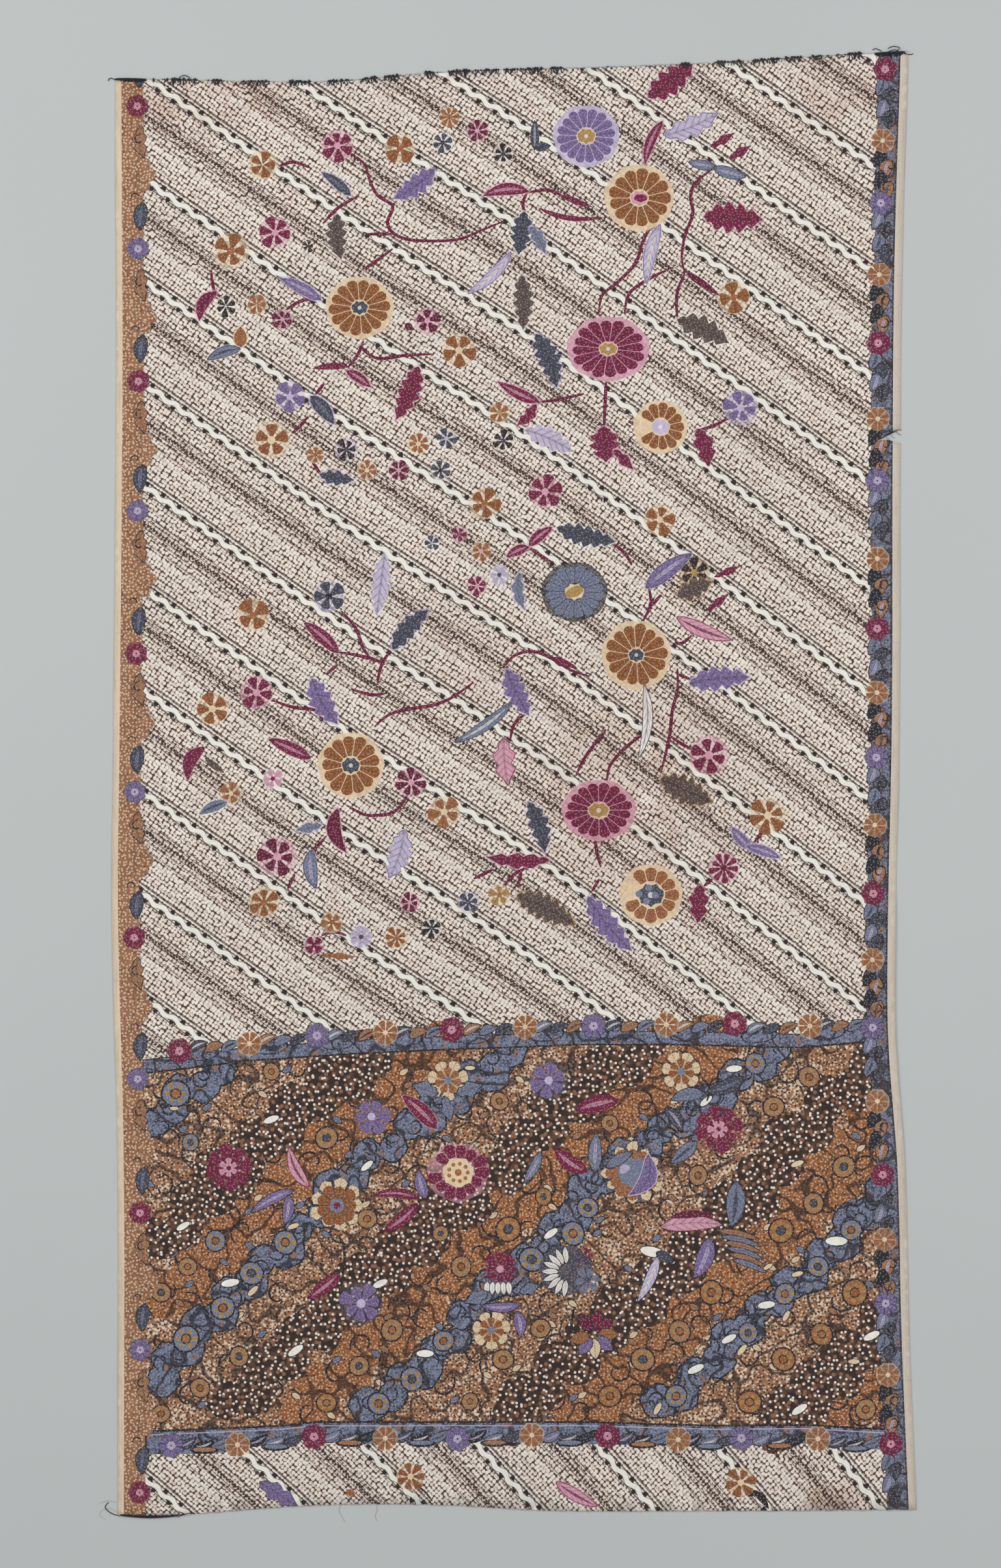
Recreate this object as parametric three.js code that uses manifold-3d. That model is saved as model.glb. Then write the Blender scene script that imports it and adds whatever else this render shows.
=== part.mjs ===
// Batik sarong cloth, lying opened out on a flat surface: one hand-drawn length of cotton, with the black
// thread that used to close it into a tube still whipped over its top end and knotted at three corners.
// Millimetres, +Z up. X runs across the cloth, +Y towards its top end, and the underside rests on Z = 0.

import * as THREE from "three";
import Module from "manifold-3d";
import { mergeVertices } from "three/addons/utils/BufferGeometryUtils.js";

// ---- Driving dimensions ----------------------------------------------------------------------------

const WALL = 1.2; // thickness of the cloth where it lies flat
const CELLS_ACROSS = 26; // top face's grid, across and along the cloth
const CELLS_ALONG = 46;

// The four edges as stations: [place along the edge, offset across it].
const LEFT_EDGE = [
  [-994, -539], [-528, -539], [-174, -547], [47, -545], [534, -541], [957, -542.5],
];
const RIGHT_EDGE = [
  [-987, 547], [-745, 537], [-533, 532], [-320, 518], [91, 524], [445, 525], [711, 527.5], [994, 536],
];
const BOTTOM_EDGE = [
  [-539, -994], [-484, -997], [-430, -992], [-273, -981], [-111, -980], [51, -988], [356, -988], [547, -987],
];
const TOP_EDGE = [
  [-542.5, 957], [-257, 953], [-110, 965], [97, 972], [302, 980], [407, 987], [536, 994],
];

// Soft ridges left by folding and storage: from, to, half width, height.
const RIDGES = [
  { from: [-8, -760], to: [6, 830], half: 34, height: 0.7 },
  { from: [-500, 4], to: [480, -12], half: 38, height: 0.8 },
  { from: [-510, 492], to: [120, 478], half: 36, height: 0.5 },
  { from: [-60, -508], to: [490, -492], half: 36, height: 0.6 },
  { from: [452, -700], to: [508, -380], half: 40, height: 1.1 },
  { from: [-400, -935], to: [-120, -905], half: 36, height: 0.9 },
  { from: [90, -930], to: [330, -945], half: 34, height: 0.8 },
  { from: [-330, 905], to: [-90, 880], half: 36, height: 0.7 },
];

// A small tear that runs in from the right edge: its mouth, shoulders and tip.
const TEAR = [
  [540, 481], [521, 479], [507, 472], [495, 466], [509, 467], [519, 463], [540, 461],
];

const SEAM_GAP = 0.3; // clear space between the thread and the cloth's edge
const SEAM_RADIUS = 0.9; // the whipped thread, taken as one slim roll
const SEAM_SIDES = 6;
const SEAM_STEPS = 56;
const KNOT_CLEARANCE = 1.5; // along the edge, between the roll and a knot

// Knotted thread ends: middle, length, half thickness and turn about Z.
const KNOTS = {
  knot_top_left: { at: [-521, 958.6], length: 42, radius: 1.4, turn: -0.6 },
  knot_top_right: { at: [511, 994.9], length: 40, radius: 1.6, turn: 3.1 },
  knot_bottom_left: { at: [-497, -998], length: 78, radius: 1.1, turn: -3.1 },
};
const KNOT_SIDES = 8;

// ---- Materials -------------------------------------------------------------------------------------

const batikCotton = new THREE.MeshStandardMaterial({ color: 0xb59c86, roughness: 0.9, metalness: 0 });
const blackThread = new THREE.MeshStandardMaterial({ color: 0x17151a, roughness: 0.85, metalness: 0 });

// ---- The outline -----------------------------------------------------------------------------------

// A smooth curve through an edge's stations: the offset at a place along it.
function offsetAt(stations, place) {
  const last = stations.length - 2;
  let i = stations.findIndex(([s], n) => n > 0 && place <= s) - 1;
  if (i < 0) i = last;
  const slopeAt = (n) => {
    const [a, b] = [stations[Math.max(n - 1, 0)], stations[Math.min(n + 1, last + 1)]];
    return (b[1] - a[1]) / (b[0] - a[0]);
  };
  const [s0, v0] = stations[i];
  const [s1, v1] = stations[i + 1];
  const run = s1 - s0;
  const t = (place - s0) / run;
  const ease = t * t * (3 - 2 * t);
  const leave = t * (1 - t) * (1 - t) * run * slopeAt(i);
  const arrive = t * t * (1 - t) * run * slopeAt(i + 1);
  return v0 + (v1 - v0) * ease + leave - arrive;
}

const ends = (stations) => [stations[0][0], stations[stations.length - 1][0]];
const mix = (a, b, t) => a + (b - a) * t;

function pointOn(stations, t, upright) {
  const place = mix(...ends(stations), t);
  const offset = offsetAt(stations, place);
  return upright ? [offset, place] : [place, offset];
}

// The cloth's middle as a blend of its four edges, u across and v along.
function clothPoint(u, v) {
  const left = pointOn(LEFT_EDGE, v, true);
  const right = pointOn(RIGHT_EDGE, v, true);
  const bottom = pointOn(BOTTOM_EDGE, u, false);
  const top = pointOn(TOP_EDGE, u, false);
  const corner = (axis) =>
    mix(
      mix(pointOn(BOTTOM_EDGE, 0, false)[axis], pointOn(BOTTOM_EDGE, 1, false)[axis], u),
      mix(pointOn(TOP_EDGE, 0, false)[axis], pointOn(TOP_EDGE, 1, false)[axis], u),
      v,
    );
  return [0, 1].map((axis) => mix(left[axis], right[axis], u) + mix(bottom[axis], top[axis], v) - corner(axis));
}

// How far the ridges lift the top face at a point.
function lift(x, y) {
  let height = 0;
  for (const ridge of RIDGES) {
    const [ax, ay] = ridge.from;
    const [bx, by] = ridge.to;
    const [dx, dy] = [bx - ax, by - ay];
    const t = ((x - ax) * dx + (y - ay) * dy) / (dx * dx + dy * dy);
    const along = Math.min(Math.max(t, 0), 1);
    const away = Math.hypot(x - ax - along * dx, y - ay - along * dy) / ridge.half;
    height += ridge.height * Math.exp(-away * away);
  }
  return height;
}

// ---- The cloth -------------------------------------------------------------------------------------

// A closed wall: the gridded top face, its rim, and a flat underside fanned from the rim.
function clothGeometry() {
  const positions = [];
  const faces = [];
  const row = CELLS_ACROSS + 1;
  for (let j = 0; j <= CELLS_ALONG; j++) {
    for (let i = 0; i <= CELLS_ACROSS; i++) {
      const [x, y] = clothPoint(i / CELLS_ACROSS, j / CELLS_ALONG);
      positions.push(x, y, WALL + lift(x, y));
    }
  }
  for (let j = 0; j < CELLS_ALONG; j++) {
    for (let i = 0; i < CELLS_ACROSS; i++) {
      const a = j * row + i;
      faces.push(a, a + 1, a + row + 1, a, a + row + 1, a + row);
    }
  }
  const rim = [];
  for (let i = 0; i < CELLS_ACROSS; i++) rim.push(i);
  for (let j = 0; j < CELLS_ALONG; j++) rim.push(j * row + CELLS_ACROSS);
  for (let i = CELLS_ACROSS; i > 0; i--) rim.push(CELLS_ALONG * row + i);
  for (let j = CELLS_ALONG; j > 0; j--) rim.push(j * row);
  const under = positions.length / 3;
  for (const k of rim) positions.push(positions[3 * k], positions[3 * k + 1], 0);
  rim.forEach((k, n) => {
    const next = (n + 1) % rim.length;
    faces.push(k, under + n, under + next, k, under + next, rim[next]);
  });
  const outline = rim.map((k) => new THREE.Vector2(positions[3 * k], positions[3 * k + 1]));
  for (const [a, b, c] of THREE.ShapeUtils.triangulateShape(outline, [])) {
    faces.push(under + a, under + c, under + b);
  }
  const geometry = new THREE.BufferGeometry();
  geometry.setAttribute("position", new THREE.Float32BufferAttribute(positions, 3));
  geometry.setIndex(faces);
  return geometry;
}

// The tear as a prism taller than the cloth.
function tearGeometry() {
  const height = 10;
  const shape = new THREE.Shape(TEAR.map(([x, y]) => new THREE.Vector2(x, y)));
  const prism = new THREE.ExtrudeGeometry(shape, { depth: height, bevelEnabled: false });
  return prism.translate(0, 0, -height / 2);
}

const wasm = await Module();
wasm.setup();

function solid(geometry) {
  const bare = geometry.clone();
  bare.deleteAttribute("normal");
  bare.deleteAttribute("uv");
  const merged = mergeVertices(bare, 1e-4);
  return new wasm.Manifold(
    new wasm.Mesh({
      numProp: 3,
      vertProperties: new Float32Array(merged.attributes.position.array),
      triVerts: new Uint32Array(merged.index.array),
    }),
  );
}

function cut(geometry, tool) {
  const result = solid(geometry).subtract(solid(tool)).getMesh();
  const made = new THREE.BufferGeometry();
  made.setAttribute("position", new THREE.Float32BufferAttribute(result.vertProperties, 3));
  made.setIndex([...result.triVerts]);
  made.computeVertexNormals();
  return made;
}

// ---- The thread ------------------------------------------------------------------------------------

// The whipped thread: a slim roll just outside the top edge, between the two top knots.
function overcastGeometry() {
  const reach = (name) => KNOTS[name].length / 2 + KNOT_CLEARANCE;
  const from = KNOTS.knot_top_left.at[0] + reach("knot_top_left");
  const to = KNOTS.knot_top_right.at[0] - reach("knot_top_right");
  const points = [];
  for (let n = 0; n <= SEAM_STEPS; n++) {
    const x = mix(from, to, n / SEAM_STEPS);
    points.push(new THREE.Vector3(x, offsetAt(TOP_EDGE, x) + SEAM_RADIUS + SEAM_GAP, SEAM_RADIUS));
  }
  const section = new THREE.Shape();
  for (let n = 0; n < SEAM_SIDES; n++) {
    const angle = (2 * Math.PI * n) / SEAM_SIDES;
    const [a, b] = [SEAM_RADIUS * Math.cos(angle), SEAM_RADIUS * Math.sin(angle)];
    if (n) section.lineTo(a, b);
    else section.moveTo(a, b);
  }
  section.closePath();
  return new THREE.ExtrudeGeometry(section, {
    steps: SEAM_STEPS,
    bevelEnabled: false,
    extrudePath: new THREE.CatmullRomCurve3(points),
  });
}

// A knotted thread end: a spindle turned about its own length.
function knotGeometry({ length, radius }) {
  const profile = [
    [0, -0.5], [0.45, -0.42], [0.8, -0.26], [1, -0.05], [0.92, 0.16], [0.6, 0.36], [0, 0.5],
  ].map(([r, t]) => new THREE.Vector2(r * radius, t * length));
  return new THREE.LatheGeometry(profile, KNOT_SIDES);
}

// ---- The object ------------------------------------------------------------------------------------

function named(name, geometry, material) {
  const mesh = new THREE.Mesh(geometry, material);
  mesh.name = name;
  return mesh;
}

const sarong = new THREE.Group();
sarong.add(named("cloth_panel", cut(clothGeometry(), tearGeometry()), batikCotton));
sarong.add(named("overcast_top", overcastGeometry(), blackThread));
for (const [name, knot] of Object.entries(KNOTS)) {
  const mesh = named(name, knotGeometry(knot), blackThread);
  mesh.rotation.z = THREE.MathUtils.degToRad(knot.turn) - Math.PI / 2;
  mesh.position.set(...knot.at, knot.radius);
  sarong.add(mesh);
}

// The origin is at the middle of the object's footprint, on the surface it rests on.
sarong.updateMatrixWorld(true);
const middle = new THREE.Box3().setFromObject(sarong, true).getCenter(new THREE.Vector3());
for (const mesh of sarong.children) {
  mesh.position.x -= middle.x;
  mesh.position.y -= middle.y;
}

export default sarong;
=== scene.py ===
import math
import random

import bpy
import numpy as np
from bpy.props import FloatProperty, FloatVectorProperty, IntProperty, PointerProperty
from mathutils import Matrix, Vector
from mathutils.geometry import delaunay_2d_cdt


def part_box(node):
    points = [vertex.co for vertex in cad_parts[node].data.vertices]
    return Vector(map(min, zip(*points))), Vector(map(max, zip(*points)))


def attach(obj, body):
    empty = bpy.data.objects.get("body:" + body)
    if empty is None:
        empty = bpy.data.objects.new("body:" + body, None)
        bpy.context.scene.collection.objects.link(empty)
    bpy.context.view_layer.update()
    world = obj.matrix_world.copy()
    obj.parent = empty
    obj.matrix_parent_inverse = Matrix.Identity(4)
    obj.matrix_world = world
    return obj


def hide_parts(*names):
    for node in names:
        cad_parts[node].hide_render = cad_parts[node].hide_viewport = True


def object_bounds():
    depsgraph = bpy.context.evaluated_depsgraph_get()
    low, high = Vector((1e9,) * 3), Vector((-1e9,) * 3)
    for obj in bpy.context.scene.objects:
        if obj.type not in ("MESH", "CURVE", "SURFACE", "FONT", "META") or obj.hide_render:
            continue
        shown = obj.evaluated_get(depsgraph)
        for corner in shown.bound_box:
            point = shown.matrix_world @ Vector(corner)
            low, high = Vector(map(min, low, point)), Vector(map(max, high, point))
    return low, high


# A batik sarong cloth, opened out and lying flat. The dyed pattern is drawn as shapes in the cloth's own
# mesh, laid one over another as the wax and dye baths lay them. The finest filling is worked out in the
# shader. Drawing is in millimetres from the middle of the cloth, +Y towards the whipped end. Meshes are
# in metres.

bl_info = {
    "name": "Batik Sarong Cloth",
    "version": (1, 0, 0),
    "blender": (4, 5, 0),
    "location": "3D View > Sidebar > Sarong",
    "description": "Builds a batik sarong cloth lying flat, with its drawn pattern and its whipped thread",
    "category": "Object",
}

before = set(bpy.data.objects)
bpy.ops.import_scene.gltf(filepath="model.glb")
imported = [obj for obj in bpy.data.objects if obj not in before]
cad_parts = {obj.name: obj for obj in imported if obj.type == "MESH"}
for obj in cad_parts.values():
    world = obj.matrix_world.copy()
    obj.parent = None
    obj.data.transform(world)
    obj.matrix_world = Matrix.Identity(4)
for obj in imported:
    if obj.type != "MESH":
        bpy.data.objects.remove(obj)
CAD_LOW, CAD_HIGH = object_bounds()
MM = 0.001
TAU = 2 * math.pi

# ---- Sizes and dyes that a user would change -----------------------------------------------------


def linear(code):
    """A scene colour from a six-figure colour code."""
    parts = [int(code[i : i + 2], 16) / 255 for i in (0, 2, 4)]
    return tuple(p / 12.92 if p <= 0.04045 else ((p + 0.055) / 1.055) ** 2.4 for p in parts)


def length(name, description, default):
    """A length in metres that a user can set."""
    return FloatProperty(
        name=name, description=description, default=default, min=0, subtype="DISTANCE", unit="LENGTH"
    )


def dye(name, description, code):
    """A colour that a user can set."""
    return FloatVectorProperty(
        name=name, description=description, default=linear(code), size=3, min=0, max=1, subtype="COLOR"
    )


class SarongSizes(bpy.types.PropertyGroup):
    thickness: length("Thickness", "Thickness of the cloth's shell", 0.0007)
    clearance: length("Clearance", "Height of the underside above the floor", 0.00015)
    relief: FloatProperty(
        name="Relief", description="How strongly the folds stand up", default=1.7, min=0, max=4
    )
    grid: length("Grid", "Spacing of the mesh between the drawn shapes", 0.021)
    ribbon_pitch: length("Ribbon pitch", "Distance between white ribbons, square to them", 0.115)
    ribbon_wave: length("Ribbon wave", "Length of one wave along a white ribbon", 0.0267)
    stitch_spacing: length("Stitch spacing", "Distance between the whipped stitches", 0.0043)
    stitch_length: length("Stitch length", "How far a whipped stitch reaches in from the edge", 0.0054)
    thread_radius: length("Thread radius", "Half thickness of the black thread", 0.0007)
    seed: IntProperty(name="Seed", description="Seed of all that is uneven by hand", default=11, min=0)


class SarongDyes(bpy.types.PropertyGroup):
    cream: dye("Cream", "Undyed cotton", "F1EAE2")
    selvedge: dye("Selvedge", "Woven edge on the brown side", "E5CFB4")
    ink: dye("Ink", "Darkest line", "2B2020")
    earth: dye("Earth", "Brown-black between the white dots", "33241F")
    umber: dye("Umber", "Grey brown of the darker leaves", "5E4C46")
    tan: dye("Tan", "Brown ground of the head panel", "A37250")
    brown: dye("Brown", "Brown of the large rosettes", "96592A")
    rust: dye("Rust", "Orange brown", "A2653A")
    straw: dye("Straw", "Yellow brown of the flower centres", "B08A4E")
    halo: dye("Halo", "Pale rim round the brown flowers", "E9CDA6")
    crimson: dye("Crimson", "Crimson of flowers and stems", "7C1741")
    wine: dye("Wine", "Darkest crimson", "6A1236")
    pink: dye("Pink", "Pale crimson", "DA9DB0")
    purple: dye("Purple", "Purple of flowers and leaves", "7D6899")
    lavender: dye("Lavender", "Pale purple", "C7B8D3")
    blue: dye("Blue", "Blue-grey of bands and leaves", "757B93")
    slate: dye("Slate", "Dark blue-grey", "454858")
    night: dye("Night", "Blue-black outline", "23252F")
    white: dye("White", "Waxed white", "F6F0E4")
    thread: dye("Thread", "Black sewing thread", "17151A")


class SarongStage(bpy.types.PropertyGroup):
    lens: FloatProperty(
        name="Lens", description="Camera lens", default=85, min=10, subtype="DISTANCE_CAMERA"
    )
    view_height: length("View height", "Length of floor that the picture covers", 2.131)
    light: FloatProperty(
        name="Light", description="Power of the two soft boxes", default=60, min=0, subtype="POWER"
    )
    floor: dye("Floor", "Pale blue-grey floor", "C3C6C4")


# ---- Small tools ---------------------------------------------------------------------------------


class Wire:
    """A node socket that can be used in Python expressions."""

    def __init__(self, tree, socket=None):
        self.tree = tree
        self.socket = socket

    def node(self, kind, settings=None, values=None, out=0):
        """Adds a node: its settings first, then its sockets' values or links. Gives the output named."""
        made = self.tree.nodes.new(kind)
        for name, value in (settings or {}).items():
            if name == "stops":
                set_stops(made.color_ramp, value)
            else:
                setattr(made, name, value)
        for key, value in (values or {}).items():
            socket = made.inputs[key]
            if isinstance(value, Wire):
                self.tree.links.new(value.socket, socket)
            else:
                socket.default_value = value
        return Wire(self.tree, made.outputs[out])

    def beside(self, out):
        """Another output of the node that this one comes from."""
        return Wire(self.tree, self.socket.node.outputs[out])

    def math(self, operation, *values):
        return self.node("ShaderNodeMath", {"operation": operation}, dict(enumerate(values)))

    def fract(self):
        return self.math("FRACT", self)

    def sine(self):
        return self.math("SINE", self)

    def most(self, other):
        """The larger of this and another."""
        return self.math("MAXIMUM", self, other)

    def __add__(self, other):
        return self.math("ADD", self, other)

    __radd__ = __add__

    def __sub__(self, other):
        return self.math("SUBTRACT", self, other)

    def __rsub__(self, other):
        return self.math("SUBTRACT", other, self)

    def __mul__(self, other):
        return self.math("MULTIPLY", self, other)

    __rmul__ = __mul__

    def __truediv__(self, other):
        return self.math("DIVIDE", self, other)

    def __abs__(self):
        return self.math("ABSOLUTE", self)

    def step(self, start, end):
        """0 before start and 1 after end, smoothly, or the other way round if end comes first."""
        low, high = min(start, end), max(start, end)
        ends = {1: low, 2: high, 3: 0.0 if start < end else 1.0, 4: 1.0 if start < end else 0.0}
        return self.node("ShaderNodeMapRange", {"interpolation_type": "SMOOTHSTEP"}, {0: self, **ends})

    def near(self, place, width):
        """1 at a place and 0 beyond a width from it."""
        return abs(self - place).step(width, width * 0.35)

    def blend(self, other, amount):
        """This colour mixed towards another by an amount."""
        return self.node(
            "ShaderNodeMix",
            {"data_type": "RGBA", "clamp_factor": True},
            {0: amount, 6: self, 7: other if isinstance(other, Wire) else (*other, 1)},
            out=2,
        )

    def times(self, other):
        """This colour multiplied by a grey."""
        return self.node("ShaderNodeVectorMath", {"operation": "SCALE"}, {0: self, 3: other})


def set_stops(ramp, stops):
    """Gives a ramp its greys, each at a place from 0 to 1."""
    while len(ramp.elements) > 1:
        ramp.elements.remove(ramp.elements[-1])
    for n, (place, value) in enumerate(stops):
        element = ramp.elements[0] if n == 0 else ramp.elements.new(place)
        element.position = place
        element.color = (value, value, value, 1)


def new_material(name):
    """An empty material, and the wire that its nodes are added with."""
    material = bpy.data.materials.new(name)
    material.use_nodes = True
    material.node_tree.nodes.clear()
    return material, Wire(material.node_tree)


def finish_material(pen, colour, roughness, bump=None, sheen=0.0):
    """Joins a colour, a roughness and a bump height to a surface."""
    values = {"Base Color": colour, "Roughness": roughness, "Sheen Weight": sheen, "Sheen Roughness": 0.5}
    if bump is not None:
        height, strength, distance = bump
        values["Normal"] = pen.node(
            "ShaderNodeBump", None, {"Height": height, "Strength": strength, "Distance": distance}
        )
    surface = pen.node("ShaderNodeBsdfPrincipled", None, values)
    output = pen.tree.nodes.new("ShaderNodeOutputMaterial")
    pen.tree.links.new(surface.socket, output.inputs["Surface"])


def smooth_line(points, steps):
    """A smooth line through points, with so many steps between each two."""
    line = []
    for i in range(len(points) - 1):
        before, after = points[max(i - 1, 0)], points[min(i + 2, len(points) - 1)]
        for n in range(steps):
            t = n / steps
            point = []
            for p, q, r, s in zip(before, points[i], points[i + 1], after):
                square, cube = 2 * p - 5 * q + 4 * r - s, 3 * q - p - 3 * r + s
                point.append(0.5 * (2 * q + (r - p) * t + square * t * t + cube * t**3))
            line.append(tuple(point))
    line.append(tuple(points[-1]))
    return line


def add_piece(name, mesh, replaced=()):
    """A new piece that rides with the cloth and may stand for CAD nodes."""
    piece = bpy.data.objects.new(name, mesh)
    bpy.context.scene.collection.objects.link(piece)
    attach(piece, "root")
    if replaced:
        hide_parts(*replaced)
    return piece


# ---- The cloth's outline and form, from the frame ------------------------------------------------

# The small tear that runs in from the right edge, and how far it spoils the cloth's outline beside it.
TEAR = [(545, 482.7), (521, 480.7), (507, 473.7), (495, 467.7), (509, 468.7), (519, 464.7), (545, 462.7)]
TEAR_MARGIN = 4
TEAR_INNER = 480


def cad_sides():
    """The CAD cloth's four sides as smooth lines: left and right going up, bottom and top across."""
    points = set()
    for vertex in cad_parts["cloth_panel"].data.vertices:
        x, y = vertex.co.x / MM, vertex.co.y / MM
        beside = TEAR[-1][1] - TEAR_MARGIN < y < TEAR[0][1] + TEAR_MARGIN
        in_tear = x > TEAR_INNER and beside
        if vertex.co.z < 0.1 * MM and not in_tear:
            points.add((round(x, 2), round(y, 2)))
    ring = sorted(points, key=lambda p: math.atan2(p[1], p[0]))
    corners = [
        max(range(len(ring)), key=lambda n: a * ring[n][0] + b * ring[n][1])
        for a, b in ((-1, -1), (1, -1), (1, 1), (-1, 1))
    ]

    def run(first, last):
        count = (last - first) % len(ring)
        return [ring[(first + n) % len(ring)] for n in range(count + 1)]

    sides = [run(corners[n], corners[(n + 1) % 4]) for n in range(4)]
    bottom, right, top, left = [smooth_line(side, 4) for side in sides]
    return left[::-1], right, bottom, top[::-1]


LEFT, RIGHT, BOTTOM, TOP = cad_sides()


def read_off(line, place, axis=0):
    """A line's y at an x, or with axis 1 its x at a y."""
    return np.interp(place, [p[axis] for p in line], [p[1 - axis] for p in line])


def left_edge(y):
    return float(read_off(LEFT, y, 1))


def right_edge(y):
    return float(read_off(RIGHT, y, 1))


def bottom_edge(x):
    return float(read_off(BOTTOM, x))


def top_edge(x):
    return float(read_off(TOP, x))


def raised(line, rise):
    """A line moved up by millimetres, or down if they are negative."""
    return [(x, y + rise) for x, y in line]


# Folds left by storage and handling: from, to, half width, height.
FOLDS = [
    ((-8, -760), (6, 830), 34, 0.7),
    ((-500, 4), (480, -12), 38, 0.8),
    ((-510, 492), (120, 478), 36, 0.5),
    ((-60, -508), (490, -492), 36, 0.6),
    ((452, -700), (508, -380), 40, 1.1),
    ((-400, -935), (-120, -905), 36, 0.9),
    ((90, -930), (330, -945), 34, 0.8),
    ((-330, 905), (-90, 880), 36, 0.7),
    ((505, -330), (520, -180), 26, 0.9),
    ((-300, -250), (-120, -330), 30, -0.25),
    ((180, 330), (330, 240), 30, -0.25),
]


def lift(x, y):
    """How far the folds lift the cloth at points, in millimetres, never below where it lies flat."""
    rise = 0.22 + 0.1 * np.sin(x / 61 + 1.3) * np.cos(y / 83) + 0.08 * np.sin((x + y) / 37)
    for (ax, ay), (bx, by), half, height in FOLDS:
        dx, dy = bx - ax, by - ay
        along = np.clip(((x - ax) * dx + (y - ay) * dy) / (dx * dx + dy * dy), 0, 1)
        away = np.hypot(x - ax - along * dx, y - ay - along * dy) / half
        rise = rise + height * np.exp(-away * away)
    return np.maximum(rise, 0)


# ---- Drawing on the cloth ------------------------------------------------------------------------

# What fills the cloth: each number is written to the faces and read by the cotton's material.
FIELD, BORDER, HEAD, DOTTED, BANDED, SELVEDGE, RUSTED = range(7)


def oval(x, y, rx, ry, sides=18, turn=0.0, wobble=0.0, lobes=7):
    """An ellipse, turned by degrees, whose rim may be lobed."""
    c, s = math.cos(math.radians(turn)), math.sin(math.radians(turn))
    if not wobble:
        sides = min(sides, int(6 + 1.7 * max(rx, ry) ** 0.5))
    points = []
    for n in range(sides):
        angle = TAU * n / sides
        swell = 1 + wobble * math.sin(lobes * angle)
        px, py = rx * swell * math.cos(angle), ry * swell * math.sin(angle)
        points.append((x + px * c - py * s, y + px * s + py * c))
    return points


def strip(line, width, taper=1.0):
    """A strip of even width along a line, narrowing towards its ends by a share."""
    left, right = [], []
    for n, (x, y) in enumerate(line):
        (ax, ay), (bx, by) = line[max(n - 1, 0)], line[min(n + 1, len(line) - 1)]
        run = math.hypot(bx - ax, by - ay) or 1
        place = 2 * n / (len(line) - 1) - 1
        half = width / 2 * (1 - (1 - taper) * place * place)
        nx, ny = -(by - ay) / run * half, (bx - ax) / run * half
        left.append((x + nx, y + ny))
        right.append((x - nx, y - ny))
    return left + right[::-1]


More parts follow.
